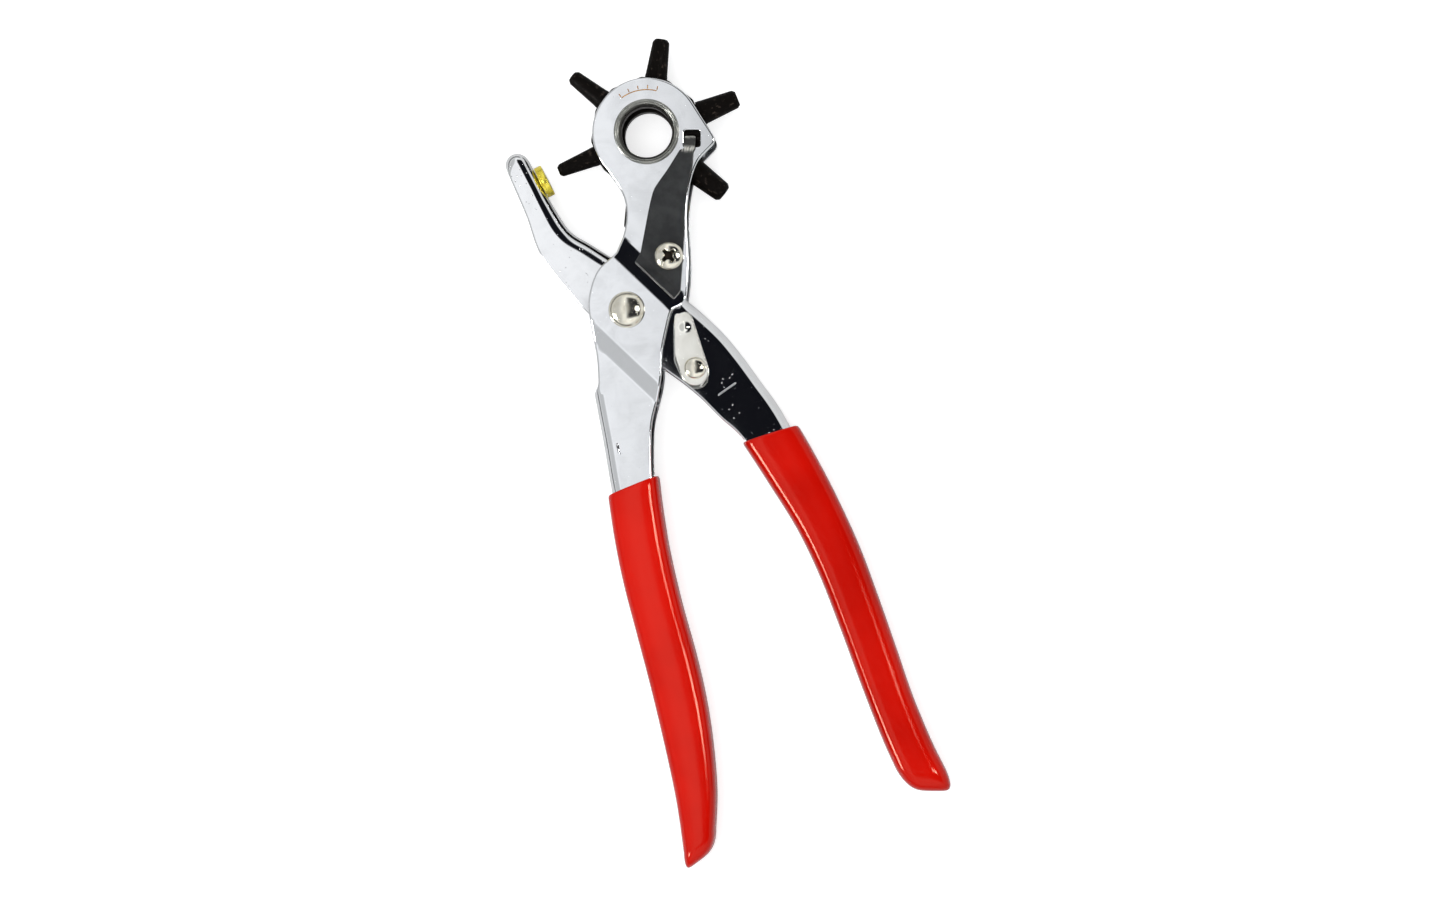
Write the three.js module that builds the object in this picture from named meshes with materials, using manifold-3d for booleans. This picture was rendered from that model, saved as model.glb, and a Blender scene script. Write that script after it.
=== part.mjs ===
// A 9-inch rotary hole punch for leather, in millimetres.
// The tool lies flat: +Z is up, the main pivot is the Z axis, the head points to +Y and the
// handles to -Y. z = 0 is the rear face of the pivot plateau, on which the tool rests.
import * as THREE from "three";
import { mergeVertices } from "three/addons/utils/BufferGeometryUtils.js";
import Module from "manifold-3d";

const wasm = await Module();
wasm.setup();

// ---- driving dimensions ----

const MID = 8.25; // height of the tool's middle plane
const HEAD_SHEET = 1.6; // thickness of the head lever's sheet
const ANVIL_SHEET = 1.5; // thickness of the anvil lever's sheet
const NECK_GAP = 5.15; // half the gap between the head lever's cheeks
const STEP_RISE = 1.5; // how far each cheek is pressed outwards round the pivot
const ANVIL_HALF = 4.95; // half the anvil lever's width over its cheeks
const NECK_HALF = NECK_GAP + HEAD_SHEET;
const PLATEAU_GAP = NECK_GAP + STEP_RISE;
const PLATEAU_HALF = NECK_HALF + STEP_RISE;
const HEAD_BEND = 2.8; // outer radius of the head lever's fold
const ANVIL_BEND = 2.9;

const STEP_ANGLE = THREE.MathUtils.degToRad(24.5); // direction up the head, square to the steps
const STEP_LINES = [-12.7, -8.8, 8.4, 13.5]; // where the steps start and end along it

const TURRET = new THREE.Vector2(23.3, 43.6); // turret axis
const HEAD_RADIUS = 15;
const WHEEL_HALF = 4.8; // half the turret wheel's thickness
const WHEEL_RADIUS = 15.2; // from the axis to each tube's seat
const SEAT_WIDTH = 7.3;
const TUBE_TIP = 26.7; // from the turret axis to the cutting edges
const TUBE_BORES = [3.5, 3.0, 2.5, 2.0, 4.5, 4.0]; // anticlockwise from +X
const TUBE_BASES = [6.8, 6.2, 5.6, 5.4, 7.2, 7.0];
const TUBE_WALL = 0.55; // at the cutting edge
const STUD_RADIUS = 2.9; // threaded root of a tube in the wheel
const HUB_BORE = 7.0;
const HUB_BARREL = 8.1;
const HUB_FLANGE = 9.0;
const HUB_HALF_SLOT = 2.6; // half the gap between the two bushes, where the slugs fall in

const PIVOT_SHANK = 3.0;
const PIVOT_HEAD = 5.0;
const SLEEVE_RADIUS = 4.5;
const WASHER_RADIUS = 8.0;
const RUNNING_FIT = 0.08;
const ASSEMBLY_GAP = 0.1;

const SPRING_WIRE = 0.65; // radius
const SPRING_COIL = 5.9; // mean radius
const SPRING_PITCH = 1.45;

const PAD_TILT = THREE.MathUtils.degToRad(5); // square to the tube when the jaw has closed
const PAD_RADIUS = 4.5;
const PAD_THICKNESS = 2.2;
const PAD_SEAT = new THREE.Vector2(-9.25, 42.4); // centre of the pad's back, on the jaw's web

const LEAF_THICKNESS = 0.8;
const LEAF_SCREW = new THREE.Vector2(16.2, 9.3);
const LATCH_RIVET = new THREE.Vector2(11.4, -22.0);
const LATCH_TOP = new THREE.Vector2(13.2, -8.6);
const LATCH_THICKNESS = 1.1;

const GRIP_HALF = MID - 0.02; // half the thickness of both grips
const GRIP_MOUTH = -44.9; // where the grips start
const ANVIL_MOUTH_DROP = 1.2; // how far the anvil grip's mouth falls over 30 mm to the right
const GRIP_FIT = 0.15;
const GRIP_ROUND = 3.4;

const ROUND = 48; // segments of a full circle
const PIVOT = new THREE.Vector2(0, 0);

// ---- materials ----

function material(color, metalness, roughness) {
  return new THREE.MeshStandardMaterial({ color, metalness, roughness });
}

const chrome = material(0xc9ccd1, 1.0, 0.12);
const nickel = material(0xc8c1a6, 1.0, 0.2);
const blackOxide = material(0x1b1817, 0.7, 0.45);
const springSteel = material(0x2a2c2f, 0.8, 0.4);
const plainSteel = material(0x8d9091, 1.0, 0.35);
const brass = material(0xc9a227, 1.0, 0.3);
const redVinyl = material(0xd3150f, 0.0, 0.25);

// ---- solids ----

// A closed geometry as a manifold-3d solid.
function solid(geometry) {
  const plain = geometry.clone();
  plain.deleteAttribute("normal");
  plain.deleteAttribute("uv");
  const merged = mergeVertices(plain, 1e-6);
  const mesh = new wasm.Mesh({
    numProp: 3,
    vertProperties: new Float32Array(merged.attributes.position.array),
    triVerts: new Uint32Array(merged.index.array),
  });
  return new wasm.Manifold(mesh);
}

// A solid back as a geometry with flat faces.
function geometryOf(body) {
  const mesh = body.getMesh();
  const geometry = new THREE.BufferGeometry();
  geometry.setAttribute("position", new THREE.BufferAttribute(new Float32Array(mesh.vertProperties), 3));
  geometry.setIndex(new THREE.BufferAttribute(new Uint32Array(mesh.triVerts), 1));
  const faceted = geometry.toNonIndexed();
  faceted.computeVertexNormals();
  return faceted;
}

function node(name, body, look) {
  const geometry = body.isBufferGeometry ? body : geometryOf(body);
  const mesh = new THREE.Mesh(geometry, look);
  mesh.name = name;
  return mesh;
}

function union(bodies) {
  return wasm.Manifold.union(bodies);
}

// ---- outlines ----

function vector([x, y]) {
  return new THREE.Vector2(x, y);
}

// Points of a smooth curve through the given ones, its last point left out when another run follows.
function curve(through, count, dropLast = false) {
  const points = new THREE.SplineCurve(through.map(vector)).getSpacedPoints(count);
  return dropLast ? points.slice(0, -1) : points;
}

function arc(cx, cy, radius, fromDeg, toDeg, count) {
  const points = [];
  for (let i = 0; i <= count; i += 1) {
    const angle = THREE.MathUtils.degToRad(fromDeg + ((toDeg - fromDeg) * i) / count);
    points.push(new THREE.Vector2(cx + radius * Math.cos(angle), cy + radius * Math.sin(angle)));
  }
  return points;
}

// A circle's points, without the repeated last one.
function circle(centre, radius, count = ROUND) {
  return arc(centre.x, centre.y, radius, 0, 360, count).slice(0, -1);
}

// A plate with the given outline between two heights.
function plate(points, bottom, top) {
  const extrusion = { depth: top - bottom, bevelEnabled: false };
  const geometry = new THREE.ExtrudeGeometry(new THREE.Shape(points), extrusion);
  geometry.translate(0, 0, bottom);
  return solid(geometry);
}

// A plate whose upper and lower edges are rounded, centred on the middle plane.
function pillow(points, half, radius, steps) {
  const geometry = new THREE.ExtrudeGeometry(new THREE.Shape(points), {
    depth: 2 * (half - radius),
    bevelThickness: radius,
    bevelSize: radius,
    bevelOffset: -radius,
    bevelSegments: steps,
  });
  geometry.translate(0, 0, MID - half + radius);
  return solid(geometry);
}

// A solid of revolution about the Z axis through a point; the profile is [radius, height] pairs.
function turned(profile, centre = PIVOT, count = ROUND) {
  const points = profile.map(vector);
  const geometry = new THREE.LatheGeometry(points, count);
  geometry.rotateX(Math.PI / 2);
  geometry.translate(centre.x, centre.y, 0);
  return solid(geometry);
}

// A round bar between two heights, for cutting holes.
function bar(centre, radius, bottom, top, count = ROUND) {
  return plate(circle(centre, radius, count), bottom, top);
}

// A ring of rectangular section.
function ring(centre, inner, outer, bottom, top) {
  return plate(circle(centre, outer), bottom, top).subtract(bar(centre, inner, bottom - 1, top + 1));
}

// A profile in (distance along a direction, height), extruded sideways to both sides.
function swept(profile, origin, angle, left, right) {
  const geometry = new THREE.ExtrudeGeometry(new THREE.Shape(profile.map(vector)), {
    depth: left + right,
    bevelEnabled: false,
  });
  geometry.translate(0, 0, -right);
  geometry.rotateX(Math.PI / 2);
  geometry.rotateZ(angle);
  geometry.translate(origin.x, origin.y, 0);
  return solid(geometry);
}

// The same body seen through the middle plane.
function mirrored(body) {
  return body.mirror([0, 0, 1]).translate([0, 0, 2 * MID]);
}

// ---- head lever ----

// Web side, from the neck round the plateau to the end of the fold in the handle.
const headWebSide = [
  ...curve([[9.3, 38.2], [10.6, 32.2], [10.7, 28.2], [9.6, 24.3], [7.1, 20.0], [3.6, 16.2]], 16, true),
  ...curve([[3.2, 15.6], [1.6, 15.1], [-4.0, 12.6], [-8.9, 6.2], [-11.0, -1.4], [-12.7, -9.3],
    [-14.9, -15.8]], 18),
];
const handleWebLine = curve(
  [[-14.4, -9.0], [-16.9, -17.6], [-18.5, -25.0], [-19.9, -32.0], [-22.5, -44.0], [-25.3, -60.0],
    [-28.0, -80.0], [-30.5, -100.0], [-33.8, -118.0], [-37.6, -134.0]],
  34,
);
const CHEEK_END = -24;
const headOpenSide = [
  new THREE.Vector2(12.3, -4.6),
  ...curve([[11.0, -5.1], [8.1, -9.1], [5.0, -13.9], [1.8, -20.8], [-1.5, -26.0], [-4.8, -30.6],
    [-7.3, -35.7], [-10.8, -45.0]], 18),
];
const handleOpenLine = curve(
  [[-10.8, -45.0], [-14.6, -60.0], [-18.4, -80.0], [-20.8, -97.0], [-24.0, -113.0], [-29.2, -129.0],
    [-31.8, -134.0]],
  16,
);

// One cheek from the head to just past the lower step.
function cheekOutline() {
  const rightOfNeck = curve(
    [[34.0, 31.2], [32.0, 29.4], [29.3, 26.0], [26.6, 21.4], [24.3, 16.4], [20.8, 6.2], [18.6, 1.3],
      [16.4, -2.9]],
    14,
  );
  return [
    ...arc(TURRET.x, TURRET.y, HEAD_RADIUS, 14, 200, 34),
    ...headWebSide,
    new THREE.Vector2(-15.0, -19.5),
    ...headOpenSide.filter((p) => p.y > CHEEK_END).reverse(),
    new THREE.Vector2(14.5, -4.5),
    ...rightOfNeck.reverse(),
    ...arc(38.2, 35.1, 1.9, -66, 14, 6),
  ];
}

// The bent sheet of the front cheek as a band across the tool, in step direction and height.
function cheekBand() {
  const [lowStart, lowEnd, highStart, highEnd] = STEP_LINES;
  const outer = [[-70, NECK_HALF], [lowStart, NECK_HALF], [lowEnd, PLATEAU_HALF], [highStart, PLATEAU_HALF],
    [highEnd, NECK_HALF], [70, NECK_HALF]];
  const inner = outer.map(([along, height]) => [along, height - HEAD_SHEET]).reverse();
  const profile = [...outer.reverse(), ...inner.reverse()].map(([along, height]) => [along, MID + height]);
  return swept(profile, PIVOT, STEP_ANGLE, 90, 90);
}

function headCheek() {
  const sheet = plate(cheekOutline(), MID, MID + 12).intersect(cheekBand());
  return sheet
    .subtract(bar(TURRET, HUB_BARREL + ASSEMBLY_GAP, MID, MID + 12))
    .subtract(bar(PIVOT, PIVOT_SHANK + ASSEMBLY_GAP, MID, MID + 12));
}

// The window in the front cheek through which the pawl reaches the wheel.
function pawlWindow() {
  const width = 4.7;
  const height = 5.0;
  const box = new THREE.BoxGeometry(width, height, 8);
  box.rotateZ(THREE.MathUtils.degToRad(-22));
  box.translate(34.2, 37.1, MID + NECK_HALF);
  return solid(box);
}

// The folded handle: a channel whose web is on the left and whose mouth is on the right.
function headHandle() {
  const openEdge = [...headOpenSide.filter((p) => p.y < CHEEK_END + 5), ...handleOpenLine.slice(1)];
  const outside = [...handleWebLine, new THREE.Vector2(-19.8, -134), new THREE.Vector2(25, -9)];
  const inside = [
    new THREE.Vector2(-14.4 + HEAD_SHEET, -7),
    ...handleWebLine.map((p) => new THREE.Vector2(p.x + HEAD_SHEET, p.y)),
    new THREE.Vector2(-19.8, -137),
    new THREE.Vector2(25, -7),
  ];
  const trim = [
    new THREE.Vector2(-16.4, -15.6),
    new THREE.Vector2(-17.4, -18.2),
    ...handleWebLine.slice(5).map((p) => new THREE.Vector2(p.x - 1, p.y)),
    ...openEdge.reverse(),
  ];
  const channel = pillow(outside, NECK_HALF, HEAD_BEND, 4).subtract(
    pillow(inside, NECK_GAP, HEAD_BEND - HEAD_SHEET, 2),
  );
  return channel.intersect(plate(trim, MID - 12, MID + 12));
}

function headLever() {
  const front = headCheek().subtract(pawlWindow()).subtract(bar(LEAF_SCREW, 2.2, MID, MID + 12, 24));
  const countersink = turned([[0, -1], [PIVOT_HEAD, -1], [PIVOT_HEAD, 0], [PIVOT_SHANK, HEAD_SHEET + 0.4],
    [0, HEAD_SHEET + 0.4]]);
  const rear = mirrored(headCheek()).subtract(countersink);
  return union([front, rear, headHandle()]);
}

// ---- anvil lever ----

const JAW_TIP = new THREE.Vector2(-13.1, 48.4);
const JAW_TIP_RADIUS = 3.3;
const jawWebSide = [
  ...arc(JAW_TIP.x, JAW_TIP.y, JAW_TIP_RADIUS, 180, 8, 14),
  ...curve([[-8.85, 37.4], [-7.9, 32.0], [-7.2, 28.6], [-5.9, 25.4], [-2.8, 21.4], [1.2, 15.8], [6.5, 9.4],
    [12.3, 2.4], [16.8, -4.5], [21.6, -14.4], [24.3, -22.6], [26.5, -31.4], [28.9, -42.0]], 40, true),
  ...curve([[28.9, -42.0], [30.6, -60.0], [31.6, -78.0], [31.6, -98.0], [30.8, -118.0], [30.6, -138.0]], 18),
];
const jawOpenSide = [
  ...curve([[23.0, -138.0], [22.8, -120.0], [23.3, -98.0], [23.2, -80.0], [20.9, -64.0],
    [16.3, -45.0]], 16, true),
  ...curve([[16.3, -45.0], [12.6, -36.8], [9.6, -29.7], [6.8, -24.4], [3.9, -19.7], [-3.2, -8.7], [-9.9, 2.6],
    [-13.2, 11.4], [-15.9, 20.2], [-16.6, 25.5], [-16.4, 30.0], [-16.1, 35.0], [-16.4, 47.0]], 34, true),
];

function anvilLever() {
  const outline = [...jawWebSide, ...jawOpenSide];
  const inward = jawWebSide.map((p, i) => {
    const before = jawWebSide[Math.max(i - 1, 0)];
    const after = jawWebSide[Math.min(i + 1, jawWebSide.length - 1)];
    const along = after.clone().sub(before).normalize();
    return new THREE.Vector2(p.x + along.y * ANVIL_SHEET, p.y - along.x * ANVIL_SHEET);
  });
  const openEnd = [[-5, -138], [-40, -60], [-40, JAW_TIP.y]].map(vector);
  const outer = pillow([...jawWebSide, ...openEnd], ANVIL_HALF, ANVIL_BEND, 4);
  const hollowOutline = [
    new THREE.Vector2(-40, JAW_TIP.y - 0.6),
    ...inward.slice(0, -1),
    new THREE.Vector2(inward.at(-1).x, -141),
    new THREE.Vector2(-5, -141),
    new THREE.Vector2(-40, -60),
  ];
  const hollow = pillow(hollowOutline, ANVIL_HALF - ANVIL_SHEET, ANVIL_BEND - ANVIL_SHEET, 2);
  const pivotHole = bar(PIVOT, SLEEVE_RADIUS + RUNNING_FIT, 0, 2 * MID);
  const stemHole = onPadAxis(2.1, -4, 3);
  const rivetHole = bar(LATCH_RIVET, 1.7, MID, 2 * MID, 24);
  return outer
    .subtract(hollow)
    .intersect(plate(outline, MID - 12, MID + 12))
    .subtract(union([pivotHole, stemHole, rivetHole]));
}

// A bar on the anvil pad's axis, from and to a distance in front of the jaw's web.
function onPadAxis(radius, from, to) {
  const geometry = new THREE.CylinderGeometry(radius, radius, to - from, 32);
  geometry.translate(0, (from + to) / 2, 0);
  geometry.rotateZ(PAD_TILT - Math.PI / 2);
  geometry.translate(PAD_SEAT.x, PAD_SEAT.y, MID);
  return solid(geometry);
}

function brassAnvil() {
  const disc = onPadAxis(PAD_RADIUS, ASSEMBLY_GAP, PAD_THICKNESS);
  const stem = onPadAxis(1.95, -ANVIL_SHEET - 0.3, 1);
  const peened = onPadAxis(2.45, -ANVIL_SHEET - 0.9, -ANVIL_SHEET - ASSEMBLY_GAP - 0.1);
  return union([disc, stem, peened]);
}

// ---- pivot ----

// A low dome as a turned profile from its rim to its top.
function dome(radius, height, base, steps = 8) {
  const profile = [];
  for (let i = 0; i <= steps; i += 1) {
    const angle = (Math.PI / 2) * (i / steps);
    profile.push([radius * Math.cos(angle), base + height * Math.sin(angle)]);
  }
  profile[steps][0] = 0;
  return profile;
}

function pivotRivet() {
  const top = MID + PLATEAU_HALF + ASSEMBLY_GAP;
  return turned([
    [0, 0],
    [PIVOT_HEAD - 0.3, 0],
    [PIVOT_SHANK - 0.05, HEAD_SHEET + 0.2],
    [PIVOT_SHANK - 0.05, top],
    [PIVOT_HEAD, top],
    ...dome(PIVOT_HEAD, 2.4, top + 0.3),
  ]);
}

function pivotSleeve() {
  const half = PLATEAU_GAP - ASSEMBLY_GAP;
  return ring(PIVOT, PIVOT_SHANK + 0.05, SLEEVE_RADIUS, MID - half, MID + half);
}

function pivotWasher() {
  const bottom = MID + ANVIL_HALF + ASSEMBLY_GAP;
  const top = MID + PLATEAU_GAP - ASSEMBLY_GAP;
  return ring(PIVOT, SLEEVE_RADIUS + ASSEMBLY_GAP, WASHER_RADIUS, bottom, top);
}

// Torsion spring: from the head lever's handle round the sleeve and into the anvil lever's handle.
function openingSpring() {
  const headFoot = new THREE.Vector3(-17.2, -33, 0);
  const anvilFoot = new THREE.Vector3(22.6, -30, 0);
  const leave = THREE.MathUtils.degToRad(161.1);
  const turns = 3 + 132.2 / 360;
  const half = (turns * SPRING_PITCH) / 2;
  const steps = 66;
  const points = [new THREE.Vector3(headFoot.x, headFoot.y, MID + half)];
  points.push(new THREE.Vector3(-11.4, -15.6, MID + half));
  for (let i = 0; i <= steps; i += 1) {
    const angle = leave - (i / steps) * turns * 2 * Math.PI;
    const height = MID + half - (i / steps) * 2 * half;
    points.push(new THREE.Vector3(SPRING_COIL * Math.cos(angle), SPRING_COIL * Math.sin(angle), height));
  }
  points.push(new THREE.Vector3(13.6, -13.7, MID - half));
  points.push(new THREE.Vector3(anvilFoot.x, anvilFoot.y, MID - half));
  const section = new THREE.Shape(circle(PIVOT, SPRING_WIRE, 8));
  const path = new THREE.CatmullRomCurve3(points, false, "centripetal");
  return new THREE.ExtrudeGeometry(section, { steps: 150, extrudePath: path });
}

// ---- turret ----

function hubBush() {
  const flangeBottom = MID + NECK_HALF + ASSEMBLY_GAP;
  const barrelEnd = MID + HUB_HALF_SLOT;
  return turned([
    [HUB_BORE, barrelEnd],
    [HUB_BARREL, barrelEnd],
    [HUB_BARREL, flangeBottom],
    [HUB_FLANGE, flangeBottom],
    [HUB_FLANGE, flangeBottom + 0.45],
    [HUB_FLANGE - 0.5, flangeBottom + 0.85],
    [HUB_BORE + 0.5, flangeBottom + 0.85],
    [HUB_BORE, flangeBottom + 0.35],
    [HUB_BORE, barrelEnd],
  ], TURRET);
}

// The wheel: twelve-sided, with a threaded seat for each tube and an index notch between seats.
function turretWheel() {
  const corners = [];
  for (let i = 0; i < 6; i += 1) {
    const angle = (i * Math.PI) / 3;
    for (const side of [-SEAT_WIDTH / 2, SEAT_WIDTH / 2]) {
      corners.push(
        new THREE.Vector2(WHEEL_RADIUS, side).rotateAround(PIVOT, angle).add(TURRET),
      );
    }
  }
  const blank = plate(corners, MID - WHEEL_HALF, MID + WHEEL_HALF);
  const cuts = [bar(TURRET, HUB_BARREL + RUNNING_FIT, 0, 2 * MID)];
  for (let i = 0; i < 6; i += 1) {
    const angle = (i * Math.PI) / 3;
    const seat = new THREE.CylinderGeometry(STUD_RADIUS + 0.05, STUD_RADIUS + 0.05, 12, 24);
    seat.rotateZ(-Math.PI / 2);
    seat.translate(12, 0, 0);
    seat.rotateZ(angle);
    seat.translate(TURRET.x, TURRET.y, MID);
    cuts.push(solid(seat));
    const notch = new THREE.CylinderGeometry(1.5, 1.5, 5, 16);
    notch.rotateZ(Math.PI / 2);
    notch.translate(13.6, 0, 0);
    notch.rotateZ(angle + Math.PI / 6);
    notch.translate(TURRET.x, TURRET.y, MID + WHEEL_HALF + 0.8);
    cuts.push(solid(notch));
  }
  return blank.subtract(union(cuts));
}

// One punch tube along +X from the turret axis: threaded root, tapered body, bevelled cutting edge.
function punchTube(bore, base) {
  const inner = bore / 2;
  const tip = inner + TUBE_WALL;
  const geometry = new THREE.LatheGeometry(
    [
      [inner, 9.2],
      [STUD_RADIUS, 9.2],
      [STUD_RADIUS, WHEEL_RADIUS + 0.1],
      [base / 2, WHEEL_RADIUS + 0.1],
      [base / 2 - 0.1, WHEEL_RADIUS + 1.4],
      [tip + 0.15, TUBE_TIP - 1.0],
      [inner + 0.15, TUBE_TIP],
      [inner, TUBE_TIP],
      [inner, 9.2],
    ].map(vector),
    24,
  );
  geometry.rotateZ(-Math.PI / 2);
  return geometry;
}

// ---- index spring, its screw and nut ----

const LEAF_BOTTOM = MID + NECK_HALF + ASSEMBLY_GAP;
const LEAF_LIFT = 1.1; // how far the leaf has risen at the bend before the pawl
const PAWL_ANGLE = THREE.MathUtils.degToRad(68);

function leafPlate() {
  const outline = [
    ...curve([[30.0, 35.3], [25.0, 31.7], [21.7, 29.6], [19.3, 27.9], [17.5, 25.7], [15.1, 22.2]], 10),
    new THREE.Vector2(9.2, 13.0),
    new THREE.Vector2(15.5, -0.8),
    new THREE.Vector2(18.8, 6.0),
    ...curve([[23.5, 15.7], [26.4, 22.0], [29.2, 26.7], [31.5, 30.2], [33.2, 33.7]], 8),
  ];
  const flatEnd = 8;
  const riseEnd = 30;
  const band = [
    [-30, LEAF_BOTTOM],
    [flatEnd, LEAF_BOTTOM],
    [riseEnd, LEAF_BOTTOM + LEAF_LIFT],
    [riseEnd, LEAF_BOTTOM + LEAF_LIFT + LEAF_THICKNESS],
    [flatEnd, LEAF_BOTTOM + LEAF_THICKNESS],
    [-30, LEAF_BOTTOM + LEAF_THICKNESS],
  ];
  const rise = THREE.MathUtils.degToRad(58.5);
  return plate(outline, MID, MID + 20)
    .intersect(swept(band, LEAF_SCREW, rise, 40, 40))
    .subtract(bar(LEAF_SCREW, 2.4, MID, MID + 20, 24));
}

// The pawl: the leaf's narrow end, bent down through the window to just above the wheel.
function leafPawl() {
  const top = LEAF_BOTTOM + LEAF_LIFT;
  const tip = MID + WHEEL_HALF + 0.12;
  const profile = [
    [-1.6, top - 0.08],
    [0.4, top],
    [2.6, LEAF_BOTTOM - 0.1],
    [3.7, tip],
    [4.5, tip],
    [3.3, LEAF_BOTTOM + 0.3],
    [0.9, top + LEAF_THICKNESS],
    [-1.6, top + LEAF_THICKNESS - 0.08],
  ];
  return swept(profile, new THREE.Vector2(32.35, 34.15), PAWL_ANGLE, 1.5, 1.5);
}

// The foot: the leaf's other end, bent up on the step so that the leaf can't turn round its screw.
function leafFoot() {
  const [, , highStart, highEnd] = STEP_LINES;
  const slope = STEP_RISE / (highEnd - highStart);
  const reach = 2.3;
  const profile = [
    [highEnd - reach, LEAF_BOTTOM + 0.05 + slope * reach],
    [highEnd, LEAF_BOTTOM],
    [highEnd + 0.6, LEAF_BOTTOM],
    [highEnd + 0.6, LEAF_BOTTOM + LEAF_THICKNESS],
    [highEnd, LEAF_BOTTOM + LEAF_THICKNESS],
    [highEnd - reach, LEAF_BOTTOM + 0.05 + slope * reach + LEAF_THICKNESS],
  ];
  return swept(profile, PIVOT, STEP_ANGLE, 7.6, 7.4);
}

function indexScrew() {
  const under = LEAF_BOTTOM + LEAF_THICKNESS + 0.32;
  const headHeight = 2.4;
  const body = turned([
    [0, MID + 1.6],
    [1.9, MID + 1.6],
    [1.9, under],
    [3.95, under],
    [3.95, under + 0.7],
    [3.7, under + 1.4],
    [3.0, under + 2.0],
    [1.8, under + 2.32],
    [0, under + headHeight],
  ], LEAF_SCREW, 32);
  const arms = [0, Math.PI / 2].map((turn) => {
    const slot = new THREE.BoxGeometry(4.4, 0.9, 3.0);
    slot.rotateZ(turn + 0.35);
    slot.translate(LEAF_SCREW.x, LEAF_SCREW.y, under + headHeight);
    return solid(slot);
  });
  return body.subtract(union(arms));
}

function indexScrewNut() {
  const top = MID + NECK_GAP - ASSEMBLY_GAP;
  return plate(circle(LEAF_SCREW, 4.04, 6), top - 2.2, top).subtract(bar(LEAF_SCREW, 2.0, MID, MID + 12, 32));
}

// ---- latch ----

const LATCH_BOTTOM = MID + PLATEAU_HALF + 0.35;
const SPACER_BOTTOM = MID + ANVIL_HALF + ASSEMBLY_GAP;

function latchPlate() {
  const outline = [
    ...arc(LATCH_TOP.x + 0.6, LATCH_TOP.y, 2.1, -4, 116, 8),
    ...arc(LATCH_TOP.x - 0.4, LATCH_TOP.y + 0.9, 1.7, 100, 158, 3),
    new THREE.Vector2(7.6, -16.4),
    ...arc(LATCH_RIVET.x - 0.4, LATCH_RIVET.y - 0.8, 3.9, 172, 352, 14),
  ];
  const top = LATCH_BOTTOM + LATCH_THICKNESS;
  const pip = turned([[0, top - 0.3], [1.4, top - 0.3], [1.4, top], [1.1, top + 0.4], [0.6, top + 0.62],
    [0, top + 0.7]], new THREE.Vector2(13.0, -10.6), 24);
  return plate(outline, LATCH_BOTTOM, top)
    .subtract(bar(LATCH_RIVET, 1.6, MID, 40, 32))
    .add(pip);
}

function latchRivet() {
  const under = LATCH_BOTTOM + LATCH_THICKNESS + ASSEMBLY_GAP;
  const inside = MID + ANVIL_HALF - ANVIL_SHEET - ASSEMBLY_GAP;
  return turned([
    [0, inside - 0.8],
    [2.6, inside - 0.8],
    [2.6, inside],
    [1.52, inside],
    [1.52, under],
    [3.0, under],
    ...dome(3.0, 1.3, under + 0.15, 6),
  ], LATCH_RIVET, 32);
}

function latchSpacer() {
  return ring(LATCH_RIVET, 1.62, 3.4, SPACER_BOTTOM, LATCH_BOTTOM - ASSEMBLY_GAP);
}

// ---- grips ----

// A moulded sleeve: a long bar with rounded edges, cut to the end's outline, less its handle's room.
function grip(left, right, end, room, roomHalf, mouthDrop) {
  const beyond = 8;
  const past = (p) => new THREE.Vector2(p.x, p.y - beyond);
  const rounded = pillow([...left, past(left.at(-1)), past(right[0]), ...right], GRIP_HALF, GRIP_ROUND, 5);
  const outline = plate([...left, ...end, ...right], -2, 2 * MID + 2);
  const mouthLine = [[-60, GRIP_MOUTH + 2 * mouthDrop], [60, GRIP_MOUTH - 2 * mouthDrop], [60, 0], [-60, 0]];
  const mouth = plate(mouthLine.map(vector), -2, 2 * MID + 2);
  const hollow = plate(room, MID - roomHalf - GRIP_FIT, MID + roomHalf + GRIP_FIT);
  return rounded.intersect(outline).subtract(hollow).subtract(mouth);
}

function headGrip() {
  const left = curve([[-22.4, -38.0], [-24.2, -45.2], [-27.0, -57.0], [-29.2, -69.0], [-31.0, -83.0],
    [-32.9, -98.0], [-35.2, -113.5], [-38.0, -129.5], [-41.6, -144.0]], 26);
  const end = curve([[-42.3, -147.2], [-40.4, -148.8], [-37.2, -148.3]], 6);
  const right = curve([[-34.6, -145.9], [-31.6, -140.8], [-27.6, -131.0], [-24.0, -119.4], [-21.0, -107.0],
    [-18.9, -94.0], [-17.2, -79.0], [-14.8, -64.5], [-12.1, -52.5], [-10.0, -45.2], [-8.2, -38.0]], 28);
  const web = handleWebLine.filter((p) => p.y < -36).map((p) => new THREE.Vector2(p.x - GRIP_FIT, p.y));
  const open = handleOpenLine.slice(1).map((p) => new THREE.Vector2(p.x + GRIP_FIT + 0.1, p.y));
  const room = [
    ...web,
    new THREE.Vector2(-37.9, -134.6),
    new THREE.Vector2(-31.4, -134.6),
    ...open.reverse(),
    new THREE.Vector2(-10.5, -45.0),
    new THREE.Vector2(-7.0, -36.0),
  ];
  return grip(left, right, end, room, NECK_HALF, 0);
}

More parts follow.
